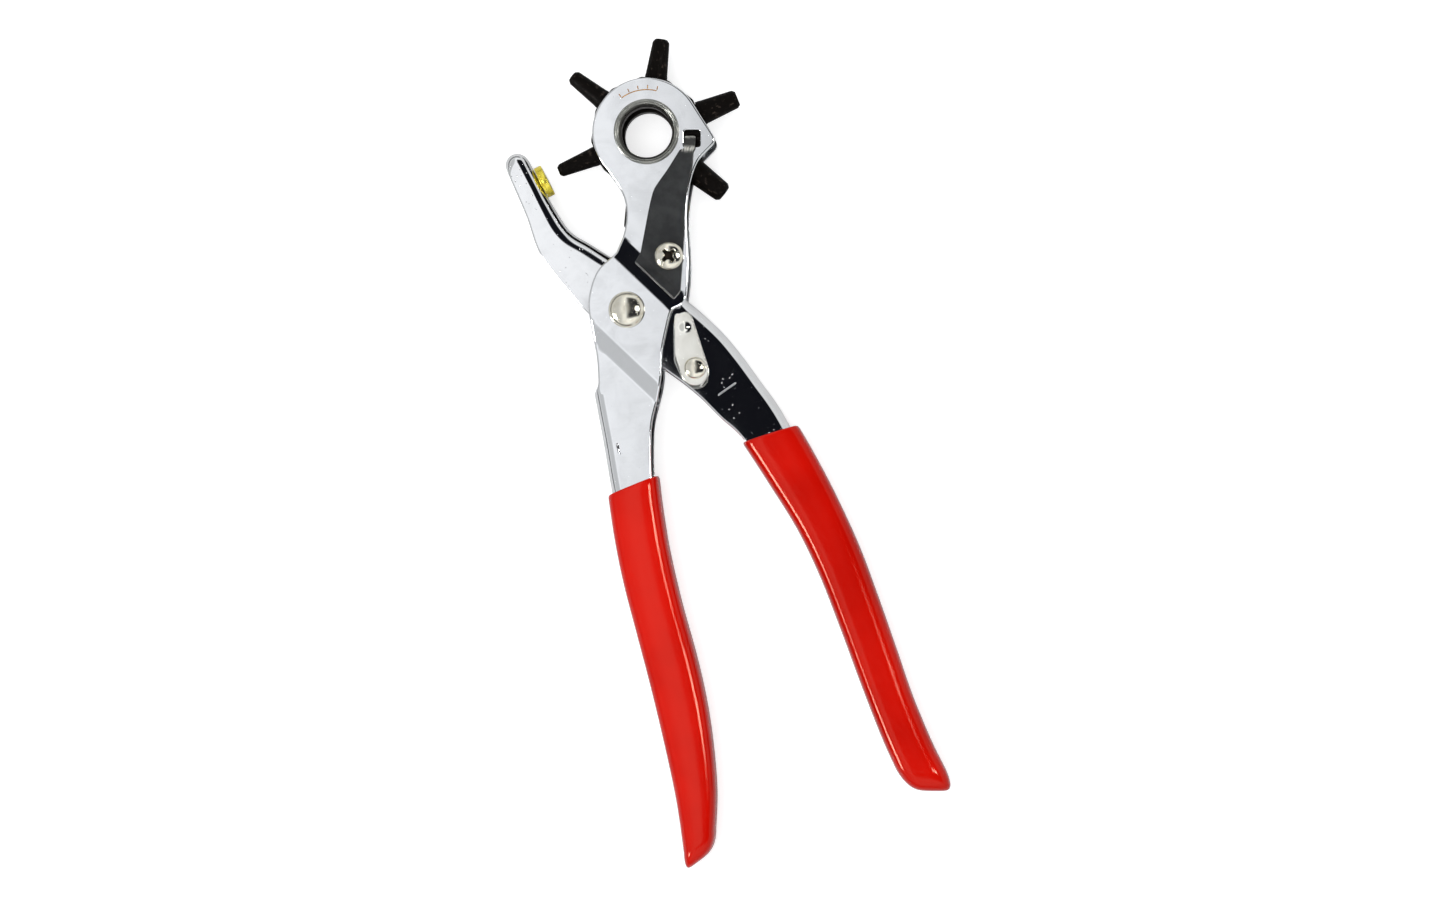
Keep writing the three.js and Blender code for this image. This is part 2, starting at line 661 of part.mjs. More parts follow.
function anvilGrip() {
  const left = curve([[13.4, -38.0], [15.5, -45.3], [18.2, -59.0], [20.6, -73.0], [21.5, -87.0],
    [21.3, -103.0], [20.8, -119.0], [20.6, -134.0], [20.8, -141.5]], 24);
  const end = curve([[21.3, -145.0], [23.4, -149.8], [27.0, -153.2], [30.6, -154.2], [33.2, -152.8]], 10);
  const right = curve([[33.6, -149.6], [32.8, -140.0], [32.7, -127.0], [33.3, -114.0], [33.8, -100.0],
    [34.0, -84.0], [33.2, -69.0], [32.1, -57.0], [30.6, -46.0], [28.9, -38.0]], 24);
  const inRoom = (p) => p.y < -38;
  const web = jawWebSide.filter(inRoom).map((p) => new THREE.Vector2(p.x + GRIP_FIT, p.y));
  const open = jawOpenSide.filter(inRoom).map((p) => new THREE.Vector2(p.x - GRIP_FIT, p.y));
  const room = [...web, new THREE.Vector2(30.7, -138.6), new THREE.Vector2(22.9, -138.6), ...open];
  return grip(left, right, end, room, ANVIL_HALF, ANVIL_MOUTH_DROP);
}

// ---- assembly ----

const punch = new THREE.Group();

punch.add(
  node("head_lever", headLever(), chrome),
  node("anvil_lever", anvilLever(), chrome),
  node("pivot_rivet", pivotRivet(), nickel),
  node("pivot_sleeve", pivotSleeve(), plainSteel),
  node("pivot_washer_front", pivotWasher(), plainSteel),
  node("pivot_washer_rear", mirrored(pivotWasher()), plainSteel),
  node("opening_spring", openingSpring(), plainSteel),
  node("hub_bush_front", hubBush(), plainSteel),
  node("hub_bush_rear", mirrored(hubBush()), plainSteel),
  node("turret_wheel", turretWheel(), blackOxide),
  node("brass_anvil", brassAnvil(), brass),
  node("index_spring", union([leafPlate(), leafPawl(), leafFoot()]), springSteel),
  node("index_screw", indexScrew(), nickel),
  node("index_screw_nut", indexScrewNut(), plainSteel),
  node("latch_plate", latchPlate(), nickel),
  node("latch_rivet", latchRivet(), nickel),
  node("latch_spacer", latchSpacer(), plainSteel),
  node("head_grip", headGrip(), redVinyl),
  node("anvil_grip", anvilGrip(), redVinyl),
);

const tubes = new THREE.Group();
tubes.position.set(TURRET.x, TURRET.y, MID);
TUBE_BORES.forEach((bore, i) => {
  const name = `punch_tube_${bore.toFixed(1).replace(".", "_")}`;
  const tube = node(name, punchTube(bore, TUBE_BASES[i]), blackOxide);
  tube.rotation.z = (i * Math.PI) / 3;
  tubes.add(tube);
});
punch.add(tubes);

export default punch;
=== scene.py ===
"""The look of a 9-inch rotary hole punch for leather, built around its CAD frame.

Lengths are written in millimetres and turned into metres where a mesh is made. The tool lies flat:
+Z is up, the main pivot is the Z axis, the head points to +Y and the handles to -Y.
"""

from math import copysign, cos, pi, radians, sin, sqrt, tan

import bmesh
import bpy
import numpy as np
from mathutils import Matrix, Vector
from mathutils.geometry import delaunay_2d_cdt


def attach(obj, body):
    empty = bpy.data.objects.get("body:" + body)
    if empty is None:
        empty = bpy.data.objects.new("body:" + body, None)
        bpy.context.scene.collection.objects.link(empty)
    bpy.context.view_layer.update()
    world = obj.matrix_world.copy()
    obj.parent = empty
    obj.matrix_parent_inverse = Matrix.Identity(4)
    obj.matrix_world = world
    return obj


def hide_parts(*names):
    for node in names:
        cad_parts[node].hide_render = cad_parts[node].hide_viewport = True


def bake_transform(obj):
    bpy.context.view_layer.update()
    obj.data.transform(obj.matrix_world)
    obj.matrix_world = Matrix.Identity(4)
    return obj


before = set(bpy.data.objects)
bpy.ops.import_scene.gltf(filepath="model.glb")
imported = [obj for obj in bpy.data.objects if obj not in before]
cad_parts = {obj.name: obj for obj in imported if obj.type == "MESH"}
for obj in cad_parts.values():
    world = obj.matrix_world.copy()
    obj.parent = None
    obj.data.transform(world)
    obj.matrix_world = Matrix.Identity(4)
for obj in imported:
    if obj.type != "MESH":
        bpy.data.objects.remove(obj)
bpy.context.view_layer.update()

MM = 0.001

# ---- dimensions, named as in the CAD model ----

MID = 8.25  # height of the tool's middle plane
HEAD_SHEET = 1.6
ANVIL_SHEET = 1.5
NECK_HALF = 6.75
STEP_RISE = 1.5  # how far each cheek is pressed outwards round the pivot
ANVIL_HALF = 4.95
HEAD_BEND = 2.8
STEP_ANGLE = radians(24.5)  # direction up the head, square to the steps
STEP_LINES = (-12.7, -8.8, 8.4, 13.5)  # where the steps start and end along it
PLATEAU_TOP = MID + NECK_HALF + STEP_RISE
NECK_TOP = MID + NECK_HALF

PIVOT = (0.0, 0.0)
PIVOT_HEAD = 5.0
PIVOT_SHANK = 2.95
SLEEVE_RADIUS = 4.5
SLEEVE_HALF = 6.55
WASHER_RADIUS = 8.0
GAP = 0.1  # between pieces that would touch

TURRET = (23.3, 43.6)
HEAD_RADIUS = 15.0
WHEEL_HALF = 4.8
WHEEL_RADIUS = 15.2  # from the axis to each tube's seat
SEAT_WIDTH = 7.3
TUBE_TIP = 26.7  # from the turret axis to the cutting edges
TUBES = ((3.5, 6.8), (3.0, 6.2), (2.5, 5.6), (2.0, 5.4), (4.5, 7.2), (4.0, 7.0))  # bore and base
TUBE_WALL = 0.55
STUD_RADIUS = 2.9
HUB_BORE = 7.0
HUB_BARREL = 8.1
HUB_FLANGE = 9.0
HUB_HALF_SLOT = 2.6  # half the gap between the two bushes

LEAF_SCREW = (16.2, 9.3)
LEAF_BOTTOM = NECK_TOP + GAP
LEAF_THICKNESS = 0.8
LATCH_RIVET = (11.4, -22.0)
LATCH_TOP = (13.2, -8.6)
LATCH_BOTTOM = PLATEAU_TOP + 0.35
LATCH_THICKNESS = 1.1
PAD_SEAT = (-9.25, 42.4)
PAD_TILT = radians(5)
GRIP_HALF = 8.2
GRIP_MOUTH = -44.9  # where the grips start


# ---- outlines ----

def unit(rows):
    """Each row scaled to length one."""
    return rows / np.linalg.norm(rows, axis=1)[:, None]


def distances(line):
    """How far along a line each of its points is."""
    return np.concatenate([[0], np.cumsum(np.hypot(*np.diff(line[:, :2], axis=0).T))])


def resampled(line, count):
    along = distances(line)
    places = np.linspace(0, along[-1], count)
    return np.column_stack([np.interp(places, along, line[:, k]) for k in range(2)])


def spaced(points, step):
    """An open line through the points, sampled at even distances."""
    points = np.array(points, float)
    return resampled(points, max(2, int(round(distances(points)[-1] / step)) + 1))


def curve(through, step=0.6):
    """A smooth line through the points (Catmull-Rom)."""
    p = np.array([through[0], *through, through[-1]], float)
    line = []
    for a, b, c, d in zip(p, p[1:], p[2:], p[3:]):
        for t in np.linspace(0, 1, 16, endpoint=False):
            line.append(0.5 * (2 * b + (c - a) * t + (2 * a - 5 * b + 4 * c - d) * t**2
                               + (3 * b - a - 3 * c + d) * t**3))
    line.append(p[-2])
    return spaced(line, step)


def arc(cx, cy, radius, start, end, step=0.6):
    count = max(4, int(abs(radians(end - start)) * radius / step))
    angles = np.radians(np.linspace(start, end, count + 1))
    return np.column_stack([cx + radius * np.cos(angles), cy + radius * np.sin(angles)])


def off(start, angle, along, across=0):
    """A point at a distance along a direction and to its left."""
    return (start[0] + along * cos(angle) - across * sin(angle),
            start[1] + along * sin(angle) + across * cos(angle))


def circle(centre, radius, count=96):
    return arc(*centre, radius, 0, 360, 2 * pi * radius / count)[:-1]


def closed(runs, step=0.55, soften=2):
    """One closed anticlockwise loop of even points, and the fold at each, from (points, fold) runs."""
    fold_run = 1.6
    raw = np.array([(x, y, fold) for points, fold in runs for x, y in points], float)
    gaps = np.hypot(*(np.roll(raw, -1, 0) - raw)[:, :2].T)
    raw = raw[gaps > 1e-3]
    ring = np.vstack([raw, raw[:1]])
    along = distances(ring)
    places = np.arange(int(along[-1] / step)) * (along[-1] / int(along[-1] / step))
    x, y, fold = (np.interp(places, along, ring[:, k]) for k in range(3))
    points = np.column_stack([x, y])
    for _ in range(soften):
        points = (np.roll(points, 1, 0) + 2 * points + np.roll(points, -1, 0)) / 4
    for _ in range(int((fold_run / step) ** 2)):
        fold = (np.roll(fold, 1) + fold * 2 + np.roll(fold, -1)) / 4
    fold = np.clip((fold - 0.02) / 0.96, 0, 1)
    if np.sum(points[:, 0] * np.roll(points[:, 1], -1) - points[:, 1] * np.roll(points[:, 0], -1)) < 0:
        points, fold = points[::-1], fold[::-1]
    return points, fold


def outward(points):
    """The outward direction at each point of an anticlockwise loop."""
    tangent = np.roll(points, -1, 0) - np.roll(points, 1, 0)
    return unit(np.column_stack([tangent[:, 1], -tangent[:, 0]]))


def inside(points, loop):
    """Which points lie inside a closed loop."""
    x, y = points[:, 0][:, None], points[:, 1][:, None]
    ax, ay = loop[:, 0], loop[:, 1]
    bx, by = np.roll(ax, -1), np.roll(ay, -1)
    crosses = (ay > y) != (by > y)
    with np.errstate(divide="ignore", invalid="ignore"):
        hits = x < (bx - ax) * (y - ay) / (by - ay) + ax
    return np.sum(crosses & hits, axis=1) % 2 == 1


def ramp(x, start, end, soft):
    """0 before start, 1 after end, straight between, its corners rounded over soft."""
    def knee(v):
        return np.where(v < -soft, 0, np.where(v > soft, v, (v + soft) ** 2 / (4 * soft)))
    return (knee(x - start) - knee(x - end)) / (end - start)


# ---- meshes ----

def point_vectors(mesh, name):
    """A mesh's vector attribute as an array."""
    values = np.zeros(len(mesh.vertices) * 3, np.float32)
    mesh.attributes[name].data.foreach_get("vector", values)
    return values.reshape(-1, 3)


class Skin:
    """Vertices, their normals and faces of one closed piece, in millimetres."""

    def __init__(self):
        self.points, self.normals, self.faces = [], [], []

    def ring(self, points, normals=None):
        """Adds points, which Blender shades by their faces if they have no normals."""
        first = len(self.points)
        self.points.extend(map(tuple, points))
        self.normals.extend(map(tuple, np.zeros((len(points), 3)) if normals is None else normals))
        return np.arange(first, len(self.points))

    def fan(self, tip, rim):
        """Triangles from one point to a closed ring."""
        self.faces.extend((tip, rim[i], rim[(i + 1) % len(rim)]) for i in range(len(rim)))

    def bridge(self, a, b, keep=None):
        """Quads between two closed rings of the same count."""
        for i in range(len(a)):
            j = (i + 1) % len(a)
            if keep is None or keep[i]:
                self.faces.append((a[i], a[j], b[j], b[i]))

    def cap(self, rings, height, shading, facing, grid):
        """Fills between the first ring and the others, on a surface z(x, y), with points where it curves."""
        loops = [np.array([self.points[i][:2] for i in ring]) for ring in rings]
        edge = np.vstack(loops)
        ids = np.concatenate(rings)
        turn, along_step, across_step = grid
        c, s = cos(turn), sin(turn)
        turned_edge = edge @ np.array([[c, -s], [s, c]])
        lo, hi = turned_edge.min(0), turned_edge.max(0)
        a, b = np.meshgrid(np.arange(lo[0], hi[0], along_step), np.arange(lo[1], hi[1], across_step))
        spots = np.column_stack([a.ravel(), b.ravel()]) @ np.array([[c, s], [-s, c]])
        spots = spots[inside(spots, loops[0])]
        for hole in loops[1:]:
            spots = spots[~inside(spots, hole)]
        bend = sum(abs(height(spots[:, 0] + dx, spots[:, 1] + dy) + height(spots[:, 0] - dx, spots[:, 1] - dy)
                       - 2 * height(spots[:, 0], spots[:, 1])) for dx, dy in ((0.7, 0), (0, 0.7)))
        spots = spots[bend > 1e-4]
        clear = 0.6 * min(along_step, across_step)
        far = [np.min(np.hypot(edge[:, 0] - x, edge[:, 1] - y)) > clear for x, y in spots]
        spots = spots[np.array(far, bool)] if len(spots) else spots
        edges, start = [], 0
        for loop in loops:
            n = len(loop)
            edges.extend((start + i, start + (i + 1) % n) for i in range(n))
            start += n
        everything = [Vector(p) for p in np.vstack([edge, spots])]
        made, _, triangles, origin, _, _ = delaunay_2d_cdt(everything, edges, [], 1, 1e-7)
        known = [next((ids[k] for k in sources if k < len(edge)), -1) for sources in origin]
        fresh = np.array([tuple(p) for p, k in zip(made, known) if k < 0]).reshape(-1, 2)
        heights, normals = relief(height, fresh)[0], relief(shading, fresh)[1]
        fresh_ids = iter(self.ring(np.column_stack([fresh, heights]), facing * normals))
        index = [k if k >= 0 else next(fresh_ids) for k in known]
        corners = np.array([(made[i] + made[j] + made[k]) / 3 for i, j, k in triangles])
        keep = np.ones(len(triangles), bool)
        for hole in loops[1:]:
            keep &= ~inside(corners, hole)
        self.faces.extend(tuple(index[v] for v in tri) for tri, good in zip(triangles, keep) if good)

    def add(self, other, mirrored=False):
        """Another skin's faces; mirrored sees it through the tool's middle plane."""
        first = len(self.points)
        sign = -1 if mirrored else 1
        shift = 2 * MID if mirrored else 0
        self.points.extend((x, y, shift + sign * z) for x, y, z in other.points)
        self.normals.extend((x, y, sign * z) for x, y, z in other.normals)
        self.faces.extend(tuple(first + v for v in face[::sign]) for face in other.faces)

    def mesh(self, name, material, matrix=None, weld=True):
        """The skin as a Blender object, in metres; attribute "local" keeps the untransformed millimetres."""
        bm = bmesh.new()
        normal_layer = bm.verts.layers.float_vector.new("shade")
        local_layer = bm.verts.layers.float_vector.new("local")
        for point, normal in zip(self.points, self.normals):
            vert = bm.verts.new(Vector(point) * MM)
            vert[normal_layer] = Vector(normal)
            vert[local_layer] = Vector(point)
        bm.verts.ensure_lookup_table()
        for face in self.faces:
            bm.faces.new([bm.verts[v] for v in face]).smooth = True
        if weld:
            bmesh.ops.remove_doubles(bm, verts=bm.verts, dist=2e-7)
        bmesh.ops.recalc_face_normals(bm, faces=bm.faces)
        mesh = bpy.data.meshes.new(name)
        bm.to_mesh(mesh)
        bm.free()
        if matrix is not None:
            mesh.transform(matrix)
        shade = point_vectors(mesh, "shade")
        if np.abs(shade).sum() > 0:
            lengths = np.maximum(np.linalg.norm(shade, axis=1), 1e-9)
            mesh.normals_split_custom_set_from_vertices(shade / lengths[:, None])
        mesh.attributes.remove(mesh.attributes["shade"])
        mesh.materials.append(material)
        obj = bpy.data.objects.new(name, mesh)
        bpy.context.scene.collection.objects.link(obj)
        return obj


def relief(height, points):
    """Heights and upward normals of a surface z(x, y) at an array of points."""
    x, y = points[:, 0], points[:, 1]
    d = 0.02
    slope_x = (height(x + d, y) - height(x - d, y)) / (2 * d)
    slope_y = (height(x, y + d) - height(x, y - d)) / (2 * d)
    normals = np.column_stack([-slope_x, -slope_y, np.ones(len(x))])
    return height(x, y) + 0 * x, unit(normals)


def sheet_half(shape, top, sheet, edge, bend, holes, grid, steps=7, under=0.15, shading=None):
    """One side of a pressed sheet with rolled edges.

    shape is what closed() gives: where its fold is 1, the sheet turns down to the middle plane. holes
    is a list of (loop, edge radius). top(x, y) is the height of the outer surface, and shading(x, y)
    the surface that its normals come from, if that is another. grid is the turn and the two steps of
    the points inside, and under the rounding of the lower edge."""
    skin = Skin()
    outline, fold = shape
    shading = shading or top
    upper, lower = [], []
    for number, (points, radius) in enumerate([(outline, edge), *holes]):
        out = outward(points) if number == 0 else -outward(points)
        turn = np.zeros(len(points)) if number else fold * fold * (3 - 2 * fold)
        radii = radius + (bend - radius) * turn if number == 0 else radius * np.ones(len(points))
        normal = relief(shading, points)[1]
        height = relief(top, points)[0]
        flat_out = np.column_stack([out, np.zeros(len(out))])

        def loop(inset, drop, side, up):
            place = points - out * np.broadcast_to(inset, len(points))[:, None]
            z = relief(top, place)[0] - drop
            shade = flat_out * side + normal * up
            return skin.ring(np.column_stack([place, z]), shade)

        rings = []
        for k in range(steps + 1):
            lean = radians(90 * k / steps)
            rings.append(loop(radii * (1 - sin(lean)), radii * (1 - cos(lean)),
                              sin(lean), cos(lean)))
        wall = (sheet - under) * (1 - turn) + (height - MID) * turn
        rings.append(loop(0, wall, 1, 0))
        base = len(rings)
        inner_wall = sheet * (1 - turn) + (height - MID) * turn
        rings.append(loop(under * (1 - turn) + sheet * turn, inner_wall, -0.5, -0.5))
        rho = np.maximum(bend - sheet, 0.1) if number == 0 else 0.1
        for k in range(steps, -1, -1):
            lean = radians(90 * k / steps)
            inset = ((under + 0.1 + 0.02 * (steps - k)) * (1 - turn)
                     + (sheet + rho * (1 - sin(lean))) * turn)
            drop = sheet + rho * (1 - cos(lean)) * turn
            rings.append(loop(inset, drop, -sin(lean) * (turn.mean() > 0), -max(cos(lean), 0.05)))
        full = turn > 0.9999
        for k in range(1, len(rings)):
            keep = ~(full & np.roll(full, -1)) if k == base else None
            skin.bridge(rings[k - 1], rings[k], keep)
        upper.append(rings[0])
        lower.append(rings[-1])
    skin.cap(upper, top, shading, 1, grid)
    skin.cap(lower, lambda x, y: top(x, y) - sheet, top, -1, grid)
    return skin


def paint(obj, name, value):
    """A per-point number for a material to read: value(local millimetres, normals), 0 to 1."""
    mesh = obj.data
    normals = np.array([tuple(v.normal) for v in mesh.vertices])
    numbers = np.clip(value(point_vectors(mesh, "local"), normals), 0, 1).astype(np.float32)
    mesh.attributes.new(name, "FLOAT", "POINT").data.foreach_set("value", numbers)


def soft_profile(points):
    """A turned profile whose corners are rounded: points are (radius, height, rounding)."""
    steps = 5
    line = []
    for i, (r, z, rounding) in enumerate(points):
        here = Vector((r, z))
        if rounding == 0 or i in (0, len(points) - 1):
            line.append(here)
            continue
        back = Vector(points[i - 1][:2]) - here
        on = Vector(points[i + 1][:2]) - here
        cut = min(rounding, back.length * 0.48, on.length * 0.48)
        start, end = here + back.normalized() * cut, here + on.normalized() * cut
        for k in range(steps + 1):
            t = k / steps
            line.append(start * (1 - t) ** 2 + here * 2 * t * (1 - t) + end * t**2)
    return line


def around(count):
    """Even angles round a circle."""
    return np.linspace(0, 2 * pi, count, endpoint=False)


def at(x, y, z=0):
    """A matrix that moves a piece to a place in millimetres."""
    return Matrix.Translation(Vector((x, y, z)) * MM)


def lying(centre, angle):
    """A matrix that lays a turned piece down at mid height, its axis along an angle."""
    return at(*centre, MID) @ Matrix.Rotation(angle, 4, "Z") @ Matrix.Rotation(pi / 2, 4, "Y")


def level_ring(radius, z, count):
    angles = around(count)
    return np.column_stack([radius * np.cos(angles), radius * np.sin(angles), np.full(count, z)])


def turned(name, profile, material, centre=PIVOT, matrix=None, count=96):
    """A piece of revolution about a vertical axis, or about matrix's own Z axis."""
    skin = Skin()
    rings = []
    for r, z in soft_profile(profile):
        if r < 1e-4:
            rings.append(skin.ring([(0, 0, z)]))
        else:
            rings.append(skin.ring(level_ring(r, z, count)))
    for a, b in zip(rings, rings[1:]):
        if len(a) == len(b) == 1:
            continue
        if len(a) == 1 or len(b) == 1:
            skin.fan(*((a[0], b) if len(a) == 1 else (b[0], a)))
        else:
            skin.bridge(a, b)
    obj = skin.mesh(name, material, matrix or at(*centre), weld=False)
    obj.data.set_sharp_from_angle(angle=radians(38))
    return obj


def swept_tube(name, path, radius, material):
    """A round wire along a line of points."""
    count = 14
    skin = Skin()
    path = np.array(path, float)
    tangents = unit(np.gradient(path, axis=0))
    side = np.cross(tangents[0], (0, 0, 1.0))
    rings = []
    angles = around(count)
    for point, tangent in zip(path, tangents):
        side = side - tangent * np.dot(side, tangent)
        side /= np.linalg.norm(side)
        up = np.cross(side, tangent)
        out = np.cos(angles)[:, None] * side + np.sin(angles)[:, None] * up
        rings.append(skin.ring(point + radius * out, out))
    for a, b in zip(rings, rings[1:]):
        skin.bridge(a, b)
    for ring, point, away in ((rings[0], path[0], -tangents[0]), (rings[-1], path[-1], tangents[-1])):
        skin.fan(skin.ring([point + away * radius * 0.35], [away])[0], ring)
    return skin.mesh(name, material)


# ---- materials ----

class Graph:
    """Helpers that add nodes to a shader's or a world's node tree."""

    def __init__(self, tree):
        self.tree = tree

    def node(self, kind, **settings):
        made = self.tree.nodes.new("ShaderNode" + kind)
        for key, value in settings.items():
            setattr(made, key, value)
        return made

    def wire(self, value, socket):
        if isinstance(value, bpy.types.NodeSocket):
            self.tree.links.new(value, socket)
        else:
            socket.default_value = value

    def levels(self, value, low, high, out_low=0.0, out_high=1.0):
        made = self.node("MapRange", interpolation_type="SMOOTHSTEP")
        for key, number in (("Value", value), ("From Min", low), ("From Max", high),
                            ("To Min", out_low), ("To Max", out_high)):
            self.wire(number, made.inputs[key])
        return made.outputs["Result"]

    def dot(self, where, direction):
        made = self.node("VectorMath", operation="DOT_PRODUCT")
        self.wire(where, made.inputs[0])
        made.inputs[1].default_value = direction
        return made.outputs["Value"]

    def math(self, operation, a, b=0.0):
        made = self.node("Math", operation=operation)
        self.wire(a, made.inputs[0])
        self.wire(b, made.inputs[1])
        return made.outputs[0]

    def times(self, a, b):
        return self.math("MULTIPLY", a, b)

    def colour(self, factor, low, high):
        made = self.node("Mix", data_type="RGBA")
        self.wire(factor, made.inputs["Factor"])
        self.wire(low, made.inputs[6])
        self.wire(high, made.inputs[7])
        return made.outputs[2]


class Finish(Graph):
    """A principled material."""

    def __init__(self, name, **values):
        self.material = bpy.data.materials.new(name)
        self.material.use_nodes = True
        super().__init__(self.material.node_tree)
        self.shader = self.tree.nodes["Principled BSDF"]
        for socket, value in values.items():
            self.shader.inputs[socket.replace("_", " ")].default_value = value

    def place(self, stretch=(1, 1, 1), turn=0.0, local=False):
        """Coordinates in millimetres, turned about Z and then stretched."""
        if local:
            source = self.node("Attribute", attribute_name="local").outputs["Vector"]
            scale = stretch
        else:
            source = self.node("TexCoord").outputs["Object"]
            scale = tuple(1000 * s for s in stretch)
        spin = self.node("Mapping")
        spin.inputs["Rotation"].default_value = (0, 0, turn)
        self.wire(source, spin.inputs["Vector"])
        grow = self.node("Mapping")
        grow.inputs["Scale"].default_value = scale
        self.wire(spin.outputs["Vector"], grow.inputs["Vector"])
        return grow.outputs["Vector"]

    def noise(self, where, scale, detail=3.0, roughness=0.55, distortion=0.0):
        made = self.node("TexNoise")
        for key, value in (("Vector", where), ("Scale", scale), ("Detail", detail),
                           ("Roughness", roughness), ("Distortion", distortion)):
            self.wire(value, made.inputs[key])
        return made.outputs["Fac"]

    def cells(self, where, scale):
        made = self.node("TexVoronoi")
        self.wire(where, made.inputs["Vector"])
        made.inputs["Scale"].default_value = scale
        return made.outputs["Distance"]

    def painted(self, name):
        """A number painted on the mesh, 0 where it has none."""
        return self.node("Attribute", attribute_name=name).outputs["Fac"]

    def bump(self, height, distance, under=None):
        """Relief whose height runs from 0 to distance millimetres."""
        made = self.node("Bump")
        made.inputs["Strength"].default_value = 1.0
        made.inputs["Distance"].default_value = distance * MM
        self.wire(height, made.inputs["Height"])
        if under is not None:
            self.wire(under, made.inputs["Normal"])
        return made.outputs["Normal"]

    def set(self, **sockets):
        for socket, value in sockets.items():
            self.wire(value, self.shader.inputs[socket.replace("_", " ")])
        return self.material


def rgb(red, green, blue):
    return (red, green, blue, 1.0)


def plated(name, light, dark, gloss, satin, turn, waves, pits=0.004, scribe=None):
    """Bright plating on pressed sheet: slow waves, fine rub marks, a few pits and faint smudges.

    scribe is a shallow line: its start in millimetres, its angle and its length."""
    f = Finish(name, Metallic=1.0)
    base = f.place()
    rubbed = f.place((0.05, 1.2, 1.2), turn)
    smudge = f.noise(base, 0.11, 4, 0.6, 0.6)
    marks = f.noise(rubbed, 3.0, 5, 0.65)
    slow = f.noise(base, 0.06, 1.5, 0.4)
    speck = f.levels(f.cells(base, 0.9), 0.0, 0.16, 1, 0)
    gate = f.levels(f.noise(base, 0.16, 3), 0.50, 0.58)
    pitted = f.times(speck, gate)
    bumps = f.bump(slow, waves)
    bumps = f.bump(marks, 0.0012, bumps)
    bumps = f.bump(pitted, -pits, bumps)
    if scribe:
        (x, y), angle, length = scribe
        toward, aside = (cos(angle), sin(angle), 0), (-sin(angle), cos(angle), 0)
        along = f.math("SUBTRACT", f.dot(base, toward), x * toward[0] + y * toward[1])
        across = f.math("ABSOLUTE", f.math("SUBTRACT", f.dot(base, aside), x * aside[0] + y * aside[1]))
        line = f.times(f.levels(across, 0.26, 0.06), f.levels(along, -0.1, 0.3))
        line = f.times(line, f.levels(along, length + 0.1, length - 0.3))
        bumps = f.bump(line, -0.10, bumps)
    tint = f.colour(f.levels(smudge, 0.35, 0.7), light, dark)
    rough = f.levels(f.math("ADD", smudge, f.times(marks, 0.4)), 0.5, 0.95, gloss, satin)
    return f.set(Base_Color=tint, Roughness=rough, Normal=bumps)


def turned_metal(name, light, dark, gloss, satin, pitch, depth, local=True):
    """Turned metal: fine concentric tool marks, pitch apart, patches of handling wear, and painted shade,
    near black, in the recesses that a piece marks.

    local takes the marks round the piece's own axis, not round the tool's."""
    f = Finish(name, Metallic=1.0)
    where = f.place(local=local)
    split = f.node("SeparateXYZ")
    f.wire(where, split.inputs[0])
    radius = f.math("SQRT", f.math("ADD", f.times(split.outputs[0], split.outputs[0]),
                                   f.times(split.outputs[1], split.outputs[1])))
    cut = f.math("ADD", radius, f.times(split.outputs[2], 0.8))
    wobble = f.noise(where, 0.5, 2)
    phase = f.math("ADD", f.times(cut, 2 * pi / pitch), f.times(wobble, 3.0))
    rings = f.math("SINE", phase)
    wear = f.noise(where, 0.45, 4, 0.6)
    relief = f.bump(rings, depth)
    relief = f.bump(f.noise(where, 4.0, 3), 0.002, relief)
    tint = f.colour(f.levels(wear, 0.35, 0.68), light, dark)
    # painted shade: a near-black colour mixed in where the piece marks a recess, standing in for the shadow
    # inside it
    tint = f.colour(f.painted("painted_recess_shade"), tint, rgb(0.030, 0.022, 0.016))
    rough = f.levels(wear, 0.3, 0.75, gloss, satin)
    return f.set(Base_Color=tint, Roughness=rough, Normal=relief)


def black_oxide(name, black, worn, gloss, satin, lengthwise):
    """Blackened steel: warm black, drawn streaks, rubbed lighter in places."""
    f = Finish(name, Specular_IOR_Level=0.05)
    local = f.place(local=True)
    streak = f.place((1, 1, 0.08) if lengthwise else (1, 1, 1), local=True)
    lines = f.noise(streak, 3.2, 5, 0.7)
    patches = f.noise(local, 0.7, 4, 0.6)
    rub = f.levels(f.times(lines, f.levels(patches, 0.35, 0.7)), 0.34, 0.62)
    relief = f.bump(lines, 0.02)
    relief = f.bump(f.noise(local, 6.0, 3), 0.008, relief)
    tint = f.colour(rub, black, worn)
    rough = f.levels(lines, 0.3, 0.75, gloss, satin)
    return f.set(Base_Color=tint, Roughness=rough, Normal=relief)


SCRIBE = ((14.4, -30.9), radians(13), 5.8)  # on the anvil lever's cheek
NICKEL = rgb(0.82, 0.77, 0.64)
STEEL = rgb(0.42, 0.42, 0.42)
chrome_head = plated("head_chrome_plate", rgb(0.90, 0.91, 0.925), rgb(0.86, 0.87, 0.885),
                     0.06, 0.13, 0.3, 0.018)
chrome_anvil = plated("anvil_chrome_plate", rgb(0.90, 0.905, 0.915), rgb(0.85, 0.855, 0.865),
                      0.05, 0.10, -0.9, 0.012, 0.08, SCRIBE)
nickel_sheet = plated("nickel_plate", rgb(0.99, 0.975, 0.91), rgb(0.94, 0.92, 0.84), 0.12, 0.20, 1.3, 0.012)
rivet_nickel = turned_metal("rivet_nickel", rgb(0.94, 0.90, 0.78), NICKEL, 0.14, 0.22, 0.25, 0.001)
nickel = turned_metal("nickel_turned", rgb(0.93, 0.89, 0.77), NICKEL, 0.14, 0.24, 0.25, 0.001)
hub_steel = turned_metal("hub_steel_turned", rgb(0.45, 0.45, 0.41), rgb(0.33, 0.335, 0.31),
                         0.27, 0.38, 0.3, 0.001)
plain_steel = turned_metal("plain_steel_turned", rgb(0.55, 0.56, 0.56), STEEL, 0.3, 0.45, 0.4, 0.004)
cad_steel = turned_metal("plain_steel_cut", rgb(0.55, 0.56, 0.56), STEEL, 0.3, 0.45, 0.4, 0.004, False)
